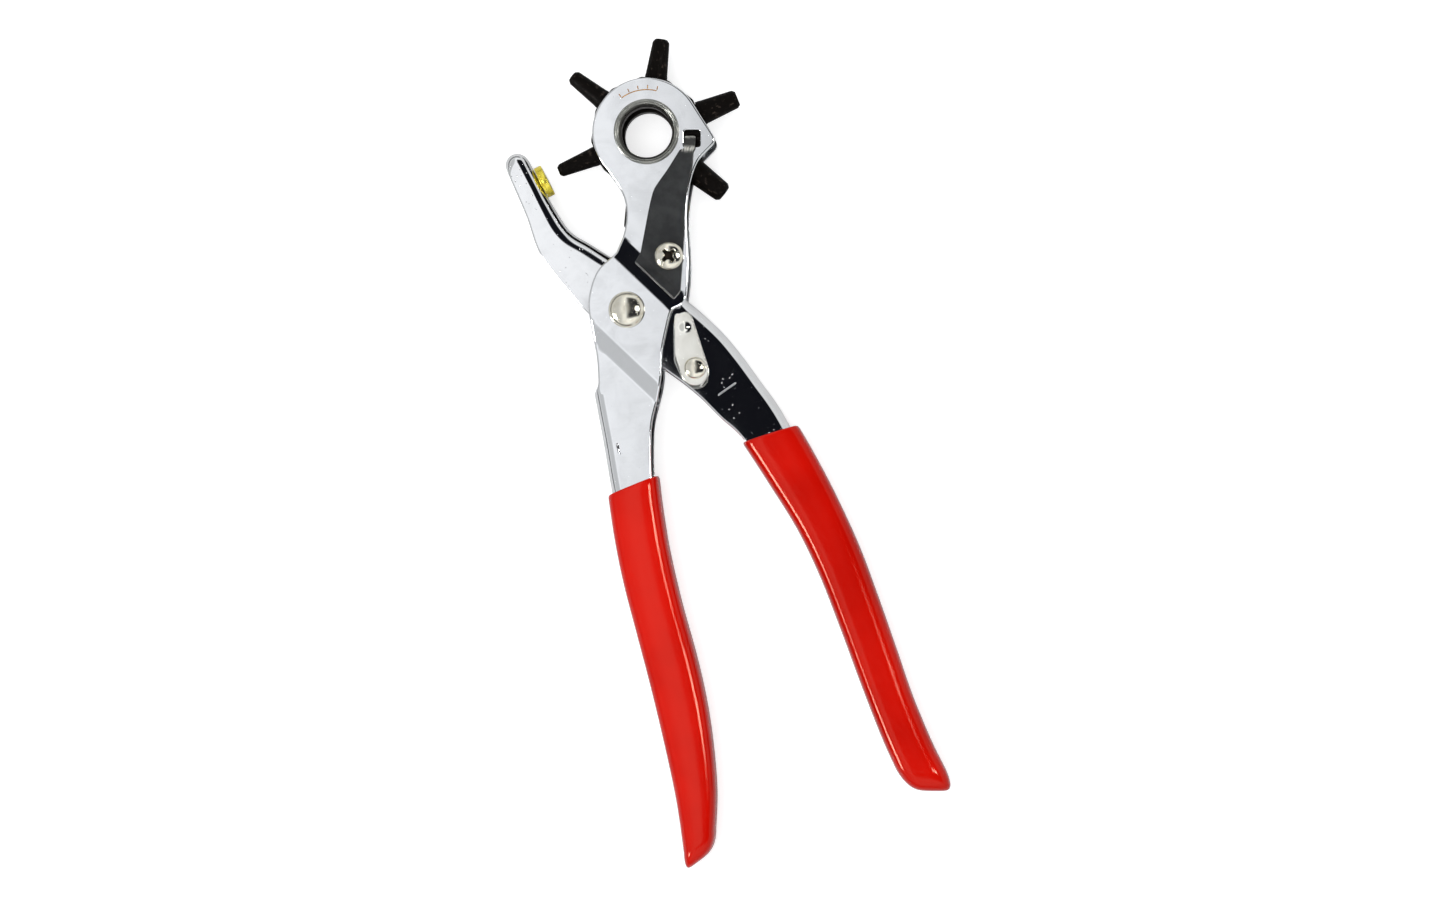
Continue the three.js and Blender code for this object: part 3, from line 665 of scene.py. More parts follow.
tube_black = black_oxide("tube_black_oxide", rgb(0.0036, 0.0028, 0.0023), rgb(0.042, 0.032, 0.026),
                         0.34, 0.6, True)
wheel_black = black_oxide("wheel_black_oxide", rgb(0.004, 0.0033, 0.003), rgb(0.030, 0.026, 0.023),
                          0.38, 0.6, False)


def leaf_finish():
    """Tempered spring steel: even grey-black with a soft mottle and drawn grain, lighter where worn at the
    edges and with a painted highlight where the tip bends over.
    """
    f = Finish("leaf_tempered_steel", Metallic=0.55, Specular_IOR_Level=0.5)
    base = f.place()
    grain = f.noise(f.place((0.06, 1, 1), -1.05), 3.5, 4, 0.6)
    mottle = f.noise(base, 0.22, 4, 0.6)
    tint = f.colour(f.levels(mottle, 0.3, 0.7), rgb(0.022, 0.023, 0.024), rgb(0.040, 0.041, 0.042))
    # pale metal mixed in by the "worn" number: edge wear, and a painted highlight on the tip's bend ridge and
    # lip
    rubbed = f.times(f.painted("worn"), f.levels(grain, 0.3, 0.55))
    tint = f.colour(rubbed, tint, rgb(0.62, 0.61, 0.56))
    rough = f.levels(f.math("ADD", f.times(grain, 0.5), mottle), 0.45, 1.0, 0.34, 0.52)
    relief = f.bump(grain, 0.006, f.bump(mottle, 0.02))
    return f.set(Base_Color=tint, Roughness=rough, Normal=relief)


def brass_finish():
    f = Finish("brass_pad", Metallic=0.8)
    local = f.place(local=True)
    wear = f.noise(local, 0.9, 4, 0.6)
    lines = f.noise(f.place((0.3, 0.3, 3), local=True), 2.0, 4, 0.6)
    tint = f.colour(f.levels(wear, 0.35, 0.7), rgb(1.0, 0.85, 0.12), rgb(0.86, 0.66, 0.05))
    rough = f.levels(wear, 0.3, 0.7, 0.2, 0.36)
    return f.set(Base_Color=tint, Roughness=rough, Normal=f.bump(lines, 0.012))


def vinyl_finish():
    """Glossy moulded vinyl: slight colour drift, orange peel and fine handling scratches."""
    f = Finish("red_vinyl_grip", IOR=1.46, Specular_IOR_Level=0.30, Specular_Tint=rgb(1.0, 0.85, 0.62))
    base = f.place()
    drift = f.noise(base, 0.03, 3, 0.5)
    peel = f.noise(base, 0.55, 2, 0.5)
    scratch = f.noise(f.place((0.04, 1.5, 1.5), 1.25), 2.5, 4, 0.7)
    tint = f.colour(f.levels(drift, 0.3, 0.7), rgb(0.66, 0.0065, 0.0025), rgb(0.50, 0.0035, 0.0010))
    rough = f.levels(scratch, 0.45, 0.75, 0.11, 0.22)
    relief = f.bump(peel, 0.006, f.bump(drift, 0.15))
    relief = f.bump(scratch, 0.001, relief)
    return f.set(Base_Color=tint, Roughness=rough, Normal=relief)


def mark_finish():
    f = Finish("engraved_mark", Metallic=0.6)
    wear = f.noise(f.place(), 1.5, 3)
    tint = f.colour(f.levels(wear, 0.35, 0.65), rgb(0.55, 0.28, 0.07), rgb(0.34, 0.16, 0.05))
    return f.set(Base_Color=tint, Roughness=f.levels(wear, 0.3, 0.7, 0.35, 0.6), Normal=f.bump(wear, 0.01))


leaf_steel = leaf_finish()
brass = brass_finish()
vinyl = vinyl_finish()
mark = mark_finish()


def finish_piece(obj, body, slot, *nodes):
    """Rides on its body and stands for its CAD nodes; slot is not used."""
    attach(obj, body)
    if nodes:
        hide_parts(*nodes)


# ---- head lever ----

def up_head(x, y):
    """Distance up the head, square to the pressed steps."""
    return x * cos(STEP_ANGLE) + y * sin(STEP_ANGLE)


def head_top(x, y):
    low_start, low_end, high_start, high_end = STEP_LINES
    along = up_head(x, y)
    rise = ramp(along, low_start, low_end, 0.55) - ramp(along, high_start, high_end, 0.45)
    return NECK_TOP + STEP_RISE * rise


handle_web = curve([(-17, -17.6), (-18.5, -25), (-19.9, -32), (-22.5, -44), (-25.3, -60),
                    (-28, -80), (-30.5, -100), (-33.8, -118), (-37.6, -134)])
head_shape = closed([
    (arc(*TURRET, HEAD_RADIUS, 14, 200), 0),
    (curve([(9.3, 38.2), (10.6, 32.2), (10.7, 28.2), (9.6, 24.3), (7.1, 20), (3.6, 16.2)]), 0),
    (curve([(3.2, 15.6), (1.6, 15.1), (-4, 12.6), (-8.9, 6.2), (-11, -1.4), (-12.7, -9.3),
            (-14.9, -15.8)]), 0),
    ([(-15.3, -16.3)], 0),
    (handle_web, 1),
    (curve([(-31.8, -134), (-29.2, -129), (-24, -113), (-20.8, -97), (-18.4, -80), (-14.6, -60),
            (-10.8, -45), (-7.3, -35.7), (-4.8, -30.6), (-1.5, -26), (1.8, -20.8), (5, -13.9),
            (8.1, -9.1), (11, -5.1), (12.3, -4.6)]), 0),
    ([(14.5, -4.5)], 0),
    (curve([(16.4, -2.9), (18.6, 1.3), (20.8, 6.2), (24.3, 16.4), (26.6, 21.4), (29.3, 26), (32, 29.4),
            (34, 31.2)]), 0),
    (arc(38.2, 35.1, 1.9, -66, 14), 0),
])


def pawl_window():
    width, height, turn = 4.5, 4.7, radians(-22)
    corners = [off((34.2, 37.1), turn, a * width / 2, b * height / 2)
               for a, b in ((-1, -1), (1, -1), (1, 1), (-1, 1))]
    return closed([(corners, 0)], 0.25, soften=9)[0]


def weld_slot():
    """A short slot beside the fold of the front cheek."""
    width, length, lean = 0.5, 2.7, radians(-9)
    ends = [*arc(0, length / 2, width / 2, 0, 180, 0.12), *arc(0, -length / 2, width / 2, 180, 360, 0.12)]
    return closed([([off((-16.45, -34.4), lean, x, y) for x, y in ends], 0)], 0.12, soften=1)[0]


head_grid = (STEP_ANGLE, 0.42, 2.6)
hub_hole = (circle(TURRET, HUB_BARREL + 0.1), 0.2)
front_holes = [hub_hole, (circle(PIVOT, PIVOT_SHANK + 0.15, 48), 0.2), (pawl_window(), 0.38),
               (circle(LEAF_SCREW, 2.2, 40), 0.2), (weld_slot(), 0.12)]
rear_holes = [hub_hole, (circle(PIVOT, PIVOT_HEAD, 64), 0.2)]
head = Skin()
for mirrored, holes in ((False, front_holes), (True, rear_holes)):
    head.add(sheet_half(head_shape, head_top, HEAD_SHEET, 0.55, HEAD_BEND, holes, head_grid), mirrored)
finish_piece(head.mesh("head_lever_sheet", chrome_head), "head_side", "head_chrome", "head_lever")

# ---- anvil lever ----

web_line = curve([(-8.95, 38.4), (-7.9, 32), (-7.2, 28.6), (-5.9, 25.4), (-2.8, 21.4), (1.2, 15.8),
                  (6.5, 9.4), (12.3, 2.4), (16.8, -4.5), (21.6, -14.4), (24.3, -22.6), (26.5, -31.4),
                  (28.9, -42), (30.6, -60), (31.6, -78), (31.6, -98), (30.8, -118), (30.6, -138)])
open_line = curve([(23, -138), (22.8, -120), (23.3, -98), (23.2, -80), (20.9, -64), (16.3, -45),
                   (12.6, -36.8), (9.6, -29.7), (6.8, -24.4), (3.9, -19.7), (-3.2, -8.7), (-9.9, 2.6),
                   (-13.2, 11.4), (-15.9, 20.2), (-16.6, 25.5), (-16.4, 30), (-16.1, 35), (-16.4, 47)])
anvil_shape = closed([
    (arc(-13.3, 49.2, 3.3, 170, 8), 1),
    (web_line, 1),
    (open_line, 0),
])
SPLAY = tan(radians(3.2))  # the cheeks of the handle lean in towards the web


def anvil_lean(x, y):
    """Distance from the open edge over the cheek, fading out above the pivot."""
    edge_x = np.interp(y, open_line[:, 1], open_line[:, 0])
    return np.clip((x - edge_x) * 0.87, 0, None) * (1 - ramp(y, -3.0, 7.0, 2.0))


def anvil_top(x, y):
    return MID + ANVIL_HALF - SPLAY * np.minimum(anvil_lean(x, y), 14)


def anvil_shade(x, y):
    return MID + ANVIL_HALF - 2.2 * SPLAY * anvil_lean(x, y)


anvil_bend = 2.9 + 0.8 * ramp(-anvil_shape[0][:, 1], -40.0, -30.0, 2.0)
anvil_holes = [(circle(PIVOT, 4.58, 64), 0.2), (circle(LATCH_RIVET, 1.7, 32), 0.15)]
anvil = Skin()
for mirrored, holes in ((False, anvil_holes), (True, anvil_holes[:1])):
    anvil.add(sheet_half(anvil_shape, anvil_top, ANVIL_SHEET, 0.45, anvil_bend, holes,
                         (radians(-60), 1.8, 1.8), shading=anvil_shade), mirrored)
finish_piece(anvil.mesh("anvil_lever_sheet", chrome_anvil), "anvil_side", "anvil_chrome", "anvil_lever")


# ---- pivot ----

def dome(radius, height, base):
    """The profile of a low dome from its rim to its top."""
    steps = 14
    line = []
    for i in range(steps + 1):
        share = cos(pi / 2 * i / steps) if i < steps else 0.0
        line.append((radius * share, base + height * sqrt(1 - share**2.5), 0))
    return line


rivet_seat = PLATEAU_TOP + GAP
rivet = turned("pivot_rivet_dome", [
    (0, 0, 0), (4.7, 0, 0.15), (PIVOT_SHANK, 1.8, 0), (PIVOT_SHANK, rivet_seat, 0),
    (PIVOT_HEAD, rivet_seat, 0.1), *dome(PIVOT_HEAD, 2.4, rivet_seat + 0.3),
], rivet_nickel)
finish_piece(rivet, "head_side", "rivet_nickel", "pivot_rivet")


def plain_ring(name, inner, outer, low, high, rounding):
    """A washer or a tube of plain steel."""
    return turned(name, [(inner, low, 0.1), (outer, low, rounding), (outer, high, rounding),
                         (inner, high, 0.1), (inner, low, 0)], plain_steel)


washer_low, washer_high = MID + ANVIL_HALF + GAP, PLATEAU_TOP - HEAD_SHEET - GAP
for side, low, high in (("front", washer_low, washer_high),
                        ("rear", 2 * MID - washer_high, 2 * MID - washer_low)):
    washer = plain_ring(f"washer_{side}", SLEEVE_RADIUS + GAP, WASHER_RADIUS, low, high, 0.15)
    finish_piece(washer, "head_side", "plain_steel", f"pivot_washer_{side}")
sleeve = plain_ring("pivot_sleeve_tube", PIVOT_SHANK + GAP, SLEEVE_RADIUS,
                    MID - SLEEVE_HALF, MID + SLEEVE_HALF, 0.2)
finish_piece(sleeve, "head_side", "plain_steel", "pivot_sleeve")


def spring_path():
    """From the head lever's handle, round the sleeve, into the anvil lever's handle."""
    coil, leave, turns, pitch = 5.9, radians(161.1), 3 + 132.2 / 360, 1.45
    half = turns * pitch / 2
    steps = 150
    line = [(-17.2 + 5.8 * t, -33 + 17.4 * t, MID + half) for t in np.linspace(0, 1, 10)]
    for i in range(steps + 1):
        angle = leave - i / steps * turns * 2 * pi
        line.append((coil * cos(angle), coil * sin(angle), MID + half - i / steps * 2 * half))
    line += [(13.6 + 9.0 * t, -13.7 - 16.3 * t, MID - half) for t in np.linspace(0, 1, 10)]
    return line, half


path, spring_half = spring_path()
spring = swept_tube("opening_spring_wire", path, 0.65, plain_steel)
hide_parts("opening_spring")
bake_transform(spring)

# ---- turret ----

for side, flip in (("front", 1), ("rear", -1)):
    seat = NECK_TOP + GAP
    barrel = MID + HUB_HALF_SLOT
    bore = HUB_BORE if flip > 0 else HUB_BORE - 0.35
    profile = [
        (bore, barrel, 0), (HUB_BARREL, barrel, 0.1), (HUB_BARREL, seat, 0), (HUB_FLANGE, seat, 0.1),
        (HUB_FLANGE, seat + 0.45, 0.3), (HUB_FLANGE - 0.3, seat + 0.85, 0.15),
        (HUB_BORE + 1.35, seat + 0.85, 0.15), (HUB_BORE + 0.95, seat + 0.42, 0.12),
        (HUB_BORE + 0.78, seat + 0.42, 0.1), (HUB_BORE + 0.3, seat - 0.2, 0.15),
        (HUB_BORE + 0.15, seat - 0.8, 0.1), (bore, seat - 1.0, 0.1), (bore, barrel, 0)]
    profile = [(r, z if flip > 0 else 2 * MID - z, rounding) for r, z, rounding in profile]
    bush = turned(f"hub_bush_{side}_ring", profile, hub_steel, TURRET, count=128)
    # painted shade down the bore, below the flange seat, darkening it as its shadow would
    paint(bush, "painted_recess_shade", lambda p, n: 0.88 * ramp(seat + 0.1 - MID - abs(p[:, 2] - MID), 0, 0.8, 0.2))
    finish_piece(bush, "head_side", "hub_steel", f"hub_bush_{side}")


def wheel_top(x, y):
    """The wheel's face, with an index notch between each two seats."""
    x, y = np.asarray(x) - TURRET[0], np.asarray(y) - TURRET[1]
    depth = 0.0
    for i in range(6):
        angle = radians(30 + 60 * i)
        across = np.abs(-x * sin(angle) + y * cos(angle))
        along = x * cos(angle) + y * sin(angle)
        round_cut = np.sqrt(np.clip(1.5**2 - across**2, 0.001, None)) - 0.8
        depth = depth + np.clip(round_cut, 0, None) * ramp(along, 10.9, 11.3, 0.15)
    return MID + WHEEL_HALF - depth


def wheel_shape():
    corners = []
    for i in range(6):
        angle = radians(60 * i)
        corners += [off(TURRET, angle, WHEEL_RADIUS, side) for side in (-SEAT_WIDTH / 2, SEAT_WIDTH / 2)]
    return closed([(corners, 0)], 0.5, soften=1)


half_wheel = sheet_half(wheel_shape(), wheel_top, WHEEL_HALF, 0.35, 0.36,
                        [(circle(TURRET, HUB_BARREL + 0.08), 0.3)], (0.0, 0.6, 0.6), under=0.0)
half_wheel.faces = [face for face in half_wheel.faces  # the halves meet open, without their underside
                    if max(half_wheel.points[v][2] for v in face) > MID + 0.01]
wheel = Skin()
for mirrored in (False, True):
    wheel.add(half_wheel, mirrored)
finish_piece(wheel.mesh("turret_wheel_block", wheel_black), "turret", "turret_black", "turret_wheel")

for place, (bore, base) in enumerate(TUBES):
    inner, tip = bore / 2, bore / 2 + TUBE_WALL
    size = str(bore).replace(".", "_")
    profile = [
        (inner, 9.2, 0), (STUD_RADIUS, 9.2, 0.1), (STUD_RADIUS, WHEEL_RADIUS + GAP, 0),
        (base / 2, WHEEL_RADIUS + GAP, 0.12), (base / 2, WHEEL_RADIUS + 1.2, 0.3),
        (base / 2 - 0.1, WHEEL_RADIUS + 1.6, 0.3), (tip + 0.28, TUBE_TIP - 0.8, 0.3),
        (inner + 0.16, TUBE_TIP, 0.06), (inner, TUBE_TIP - 0.05, 0.05), (inner, 9.2, 0)]
    tube = turned(f"tube_{size}", profile, tube_black, matrix=lying(TURRET, radians(60 * place)), count=72)
    finish_piece(tube, "turret", "tube_black", f"punch_tube_{size}")

# ---- anvil pad ----

pad = turned("brass_pad_disc", [
    (0, -2.4, 0), (2.7, -2.4, 0.3), (2.7, -1.7, 0), (1.95, -1.7, 0), (1.95, 0.1, 0), (4.5, 0.1, 0.12),
    (4.5, 0.7, 0.05), (4.42, 0.8, 0.05), (4.5, 0.9, 0.05), (4.5, 2.2, 0.3), (3.6, 2.2, 0), (0, 2.16, 0)],
    brass, matrix=lying(PAD_SEAT, PAD_TILT))
finish_piece(pad, "anvil_side", "anvil_brass", "brass_anvil")

# ---- index spring and its screw ----

PAWL_START = (32.35, 34.15)
PAWL_ANGLE = radians(68)
LEAF_RISE = radians(58.5)


def along_from(x, y, start, angle):
    return (x - start[0]) * cos(angle) + (y - start[1]) * sin(angle)


def leaf_top(x, y):
    """The blade rises off the cheek, its tip bends down to the wheel and its foot up onto the step."""
    rise = 1.1 * ramp(along_from(x, y, LEAF_SCREW, LEAF_RISE), 8, 30, 3)
    tip = 3.03 * ramp(along_from(x, y, PAWL_START, PAWL_ANGLE), 0.9, 3.9, 0.35)
    foot = 0.294 * np.clip(STEP_LINES[3] + 0.05 - up_head(x, y), 0, None)
    return LEAF_BOTTOM + LEAF_THICKNESS + rise - tip + foot


leaf_shape = closed([
    (curve([(30, 35.3), (25, 31.7), (21.7, 29.6), (19.3, 27.9), (17.5, 25.7), (15.1, 22.2)], 0.4), 0),
    ([(9.2, 13), off(PIVOT, STEP_ANGLE, 11.25, 7.5), off(PIVOT, STEP_ANGLE, 11.25, -7.3), (15.5, -0.8),
      (18.8, 6)], 0),
    (curve([(23.5, 15.7), (26.4, 22), (29.2, 26.7), (31.5, 30.2), (33.2, 33.7)], 0.4), 0),
    ([off(PAWL_START, PAWL_ANGLE, x, y) for x, y in ((0.4, -1.5), (4.3, -1.5), (4.3, 1.5), (0.4, 1.5))], 0),
], 0.3)
leaf = sheet_half(leaf_shape, leaf_top, LEAF_THICKNESS, 0.16, 0.17,
                  [(circle(LEAF_SCREW, 2.4, 40), 0.1)], (LEAF_RISE, 0.5, 1.0), steps=4, under=0.08)
leaf_piece = leaf.mesh("index_spring_leaf", leaf_steel)


def leaf_wear_and_highlight(p, n):
    """Painted highlight on the ridge where the tip bends over and on the lip of its end, and real wear along
    the edges.
    """
    up_tip = along_from(p[:, 0], p[:, 1], PAWL_START, PAWL_ANGLE)
    near = abs(along_from(p[:, 0], p[:, 1], PAWL_START, PAWL_ANGLE + pi / 2)) < 2.2
    ridge = np.exp(-(((up_tip - 0.45) / 0.6) ** 2)) * near
    lip = np.exp(-(((up_tip - 3.95) / 0.3) ** 2)) * near
    edges = 0.30 * ramp(-abs(n[:, 2]), -0.85, -0.35, 0.1)
    return np.maximum(1.4 * ridge + lip, edges)


# the "worn" number holds edge wear and a painted highlight on the tip's bend ridge and lip
paint(leaf_piece, "worn", leaf_wear_and_highlight)
finish_piece(leaf_piece, "index_leaf", "leaf_steel", "index_spring")


def screw_head():
    """A pan head with a cross recess, its shank below."""
    skin = Skin()
    under = LEAF_BOTTOM + LEAF_THICKNESS + 0.32
    radius, height, turn, deep = 3.95, 2.4, 0.35, 1.5
    shank, tail = 1.9, MID + 1.6
    count = 144
    angles = around(count)

    def crown(r):
        rim = 0.72 + 1.68 * np.sqrt(np.clip(1 - (r / radius) ** 2.6, 0, 1))
        return under + np.minimum(rim, height)

    def recess(x, y):
        depth = np.zeros_like(x)
        for spin in (turn, turn + pi / 2):
            along = np.abs(x * cos(spin) + y * sin(spin))
            across = np.abs(-x * sin(spin) + y * cos(spin))
            wing = 1 - ramp(across, 0.36, 0.56, 0.06)
            reach = 1 - ramp(along, 1.25, 2.25, 0.2)
            depth = np.maximum(depth, deep * wing * reach)
        core = 1 - ramp(np.hypot(x, y), 0.75, 1.15, 0.15)
        return np.maximum(depth, deep * core)

    rings = [skin.ring([(0, 0, float(crown(0)) - deep)])]
    for r in [*np.linspace(0.12, 2.5, 34), *(radius * np.sin(np.linspace(0.69, pi / 2, 14)))]:
        x, y = r * np.cos(angles), r * np.sin(angles)
        rings.append(skin.ring(np.column_stack([x, y, crown(r) - recess(x, y)])))
    for r, z in ((radius, under + 0.35), (radius - 0.12, under + 0.05), (radius - 0.4, under),
                 (shank, under), (shank, tail + 0.3), (1.6, tail)):
        rings.append(skin.ring(level_ring(r, z, count)))
    skin.fan(rings[0][0], rings[1])
    skin.fan(skin.ring([(0, 0, tail)])[0], rings[-1])
    for a, b in zip(rings[1:], rings[2:]):
        skin.bridge(a, b)
    obj = skin.mesh("index_screw_head", nickel, at(*LEAF_SCREW), weld=False)
    obj.data.set_sharp_from_angle(angle=radians(50))
    # painted shade in the cross recess, darkening it as its shadow would
    paint(obj, "painted_recess_shade", lambda p, n: recess(p[:, 0], p[:, 1]) / 1.2 * (p[:, 2] > under + 0.6))
    return obj


finish_piece(screw_head(), "head_side", "screw_nickel", "index_screw")

# ---- latch ----

latch_shape = closed([
    (arc(LATCH_TOP[0] + 0.6, LATCH_TOP[1], 2.1, -4, 116, 0.3), 0),
    (arc(LATCH_TOP[0] - 0.4, LATCH_TOP[1] + 0.9, 1.7, 100, 158, 0.3), 0),
    ([(7.6, -16.4)], 0),
    (arc(LATCH_RIVET[0] - 0.4, LATCH_RIVET[1] - 0.8, 3.9, 172, 352, 0.3), 0),
], 0.35, soften=3)
PIP = (13.0, -10.6)


def latch_top(x, y):
    """A plate with one pressed pip, a little lower towards its left."""
    x, y = np.asarray(x), np.asarray(y)
    from_pip = np.hypot(x - PIP[0], y - PIP[1])
    lean = 0.008 * (0.93 * (x - LATCH_RIVET[0]) - 0.37 * (y - LATCH_RIVET[1]))
    return LATCH_BOTTOM + LATCH_THICKNESS + lean + 0.38 * (1 - ramp(from_pip, 0.35, 1.4, 0.34))


latch = sheet_half(latch_shape, latch_top, LATCH_THICKNESS, 0.3, 0.31,
                   [(circle(LATCH_RIVET, 1.6, 40), 0.12)], (0.0, 0.45, 0.45), steps=5, under=0.12)
finish_piece(latch.mesh("latch_plate_pressed", nickel_sheet), "latch", "latch_nickel", "latch_plate")

latch_seat = LATCH_BOTTOM + LATCH_THICKNESS + GAP
inner_face = MID + ANVIL_HALF - ANVIL_SHEET - GAP
latch_pin = turned("latch_rivet_dome", [
    (0, inner_face - 0.8, 0), (2.6, inner_face - 0.8, 0.3), (2.6, inner_face - 0.35, 0),
    (1.52, inner_face - 0.35, 0), (1.52, latch_seat, 0), (3.0, latch_seat, 0.05),
    *dome(3.0, 1.3, latch_seat + 0.15)],
    rivet_nickel, LATCH_RIVET, count=80)
finish_piece(latch_pin, "anvil_side", "latch_nickel", "latch_rivet")


# ---- grips ----

def grip(name, left, right, mouth_left, mouth_right, cap_length, lean, taper):
    """A moulded sleeve lofted between its two side lines, open at the mouth and rounded at the end.

    taper thins it towards its right (+) or left (-) side, as the splayed channel inside it does."""
    skin = Skin()
    count, stations = 168, 150
    wall, mouth_depth = 1.25, 14

    def even(line, mouth):
        line = curve(line, 0.25)
        return resampled(line[line[:, 1] < mouth + 1e-6], stations)

    lefts, rights = even(left, mouth_left), even(right, mouth_right)
    dense = np.linspace(0, 2 * pi, 4001)
    c, s = np.cos(dense), np.sin(dense)
    shape = spaced(np.column_stack([7 * np.sign(c) * abs(c) ** 0.60, 8 * np.sign(s) * abs(s) ** 0.48]), 0.05)
    pick = np.linspace(0, len(shape) - 1, count + 1).round().astype(int)[:-1]
    across, above = shape[pick, 0] / 7, shape[pick, 1] / 8
    seam = 0.09 * np.exp(-((above * 8 / 0.3) ** 2))

    def section(centre, half_width, half_height):
        width = max(np.linalg.norm(half_width), 1e-6)
        xy = centre + np.outer(across * (1 + min(1, width / 3) * seam / width), half_width)
        lift = 1 - abs(taper) * (1 + copysign(1, taper) * across)
        return np.column_stack([xy, MID + half_height * above * lift])

    centre, half = (lefts[0] + rights[0]) / 2, (rights[0] - lefts[0]) / 2
    inward = (lefts[12] + rights[12]) / 2 - centre
    inward /= np.linalg.norm(inward)
    width = np.linalg.norm(half)
    rings = [section(centre + inward * depth, half * (1 - share * wall / width), GRIP_HALF - share * wall)
             for depth, share in ((mouth_depth, 1.0), (0.4, 1.0), (0.05, 0.8), (-0.02, 0.5), (0.06, 0.2))]
    for k in range(stations):
        near_mouth = max(0, 1 - k / 2)
        middle, side = (lefts[k] + rights[k]) / 2, (rights[k] - lefts[k]) / 2
        if k == 0:
            middle = middle + inward * 0.25
        rings.append(section(middle, side * (1 - 0.12 / width * near_mouth**2),
                             GRIP_HALF - 0.12 * near_mouth))
    middle, side = (lefts[-1] + rights[-1]) / 2, (rights[-1] - lefts[-1]) / 2
    onward = middle - (lefts[-6] + rights[-6]) / 2
    onward /= np.linalg.norm(onward)
    for t in np.linspace(0.06, 1, 24):
        angle = t * pi / 2
        closing = max(cos(angle), 0.0) ** 0.4
        tip = middle + onward * cap_length * sin(angle) + lean * side * (1 - closing)
        rings.append(section(tip, side * closing, GRIP_HALF * closing))
    made = [skin.ring(ring) for ring in rings[:-1]]
    for a, b in zip(made, made[1:]):
        skin.bridge(a, b)
    for ring, tip in ((made[0], centre + inward * mouth_depth), (made[-1], rings[-1][:, :2].mean(0))):
        skin.fan(skin.ring([(*tip, MID)])[0], ring)
    obj = skin.mesh(name, vinyl)
    obj.data.set_sharp_from_angle(angle=radians(60))
    return obj


head_grip = grip(
    "head_grip_sleeve",
    [(-22.4, -38), (-24.2, -45.2), (-27, -57), (-29.2, -69), (-31, -83), (-32.9, -98),
     (-35.2, -113.5), (-38, -129.5), (-41.4, -143.4)],
    [(-7.6, -38.2), (-9.3, -45.4), (-11.3, -52.8), (-14, -64.8), (-16.3, -79.3), (-18, -94.3),
     (-20.1, -107.3), (-23.1, -119.7), (-26.8, -131.3), (-31, -140.7)],
    GRIP_MOUTH, GRIP_MOUTH, cap_length=5.1, lean=-0.3, taper=-0.025)
finish_piece(head_grip, "head_side", "red_vinyl", "head_grip")

anvil_grip = grip(
    "anvil_grip_sleeve",
    [(13.4, -38), (15.5, -45.3), (18.2, -59), (20.6, -73), (21.5, -87), (21.3, -103),
     (20.8, -119), (20.6, -134), (20.9, -143)],
    [(29.7, -38.3), (31.4, -46.3), (32.9, -57.3), (34, -69.3), (34.6, -84.2), (34.1, -100.1),
     (33.4, -114), (32.7, -127), (32.8, -140), (33.4, -148.2)],
    GRIP_MOUTH - 0.4, GRIP_MOUTH - 1.6, cap_length=7.3, lean=0.2, taper=0.085)
finish_piece(anvil_grip, "anvil_side", "red_vinyl", "anvil_grip")


# ---- plain engraved arc on the head disc ----

def engraved_arc():
    """A short arc with ticks, a hair above the plating."""
    skin = Skin()
    lift, radius, width = 0.015, 11.6, 0.14

    def strip(line):
        line = np.array(line, float)
        tangent = unit(np.gradient(line, axis=0))
        side = width * np.column_stack([-tangent[:, 1], tangent[:, 0]])
        z = np.full(len(line), NECK_TOP + lift)
        corners = []
        for sign, drop in ((-1, 0), (1, 0), (1, 0.012), (-1, 0.012)):
            place = np.column_stack([line + sign * side, z - drop])
            corners.append(skin.ring(place, np.tile((0, 0, 1.0), (len(line), 1))))
        for a, b in ((0, 1), (1, 2), (2, 3), (3, 0)):
            for i in range(len(line) - 1):
                skin.faces.append((corners[a][i], corners[a][i + 1], corners[b][i + 1], corners[b][i]))
        skin.faces.append(tuple(ring[0] for ring in corners))
        skin.faces.append(tuple(ring[-1] for ring in corners))

    start, end = radians(54), radians(104)
    strip([off(TURRET, a, radius) for a in np.linspace(start, end, 40)])
    for a in np.linspace(start, end, 5):
        strip([off(TURRET, a, r) for r in (radius + 0.3, radius + 1.3)])
    return skin.mesh("engraved_scale", mark, weld=False)


finish_piece(engraved_arc(), "head_side", "head_chrome")

# ---- CAD nodes that keep their own shape ----

for node in ("index_screw_nut", "latch_spacer"):
    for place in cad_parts[node].material_slots:
        place.material = cad_steel

# ---- floor, light and camera ----

RIGHT = (0.927, -0.375, 0.0)  # to the right and upwards in the view from the camera
UPWARD = (0.375, 0.927, 0.0)


def pale_floor():
    """Overexposed to the camera, pale grey to everything that reflects it."""
    f = Finish("pale_floor", Roughness=0.6, Emission_Color=rgb(1.0, 1.0, 1.0))
    seen = f.node("LightPath").outputs["Is Camera Ray"]
    spots = f.noise(f.place(), 0.02, 3)
    return f.set(Emission_Strength=f.levels(seen, 0.0, 1.0, 0.0, 0.65),
                 Base_Color=f.colour(spots, rgb(0.60, 0.60, 0.60), rgb(0.62, 0.62, 0.62)))


floor_skin = Skin()
corners = [(x, y, 0) for x, y in ((-3000, -3000), (3000, -3000), (3000, 3000), (-3000, 3000))]
floor_skin.faces.append(tuple(floor_skin.ring(corners, [(0, 0, 1)] * 4)))
floor_skin.mesh("floor", pale_floor(), at(0, 0, -0.2))


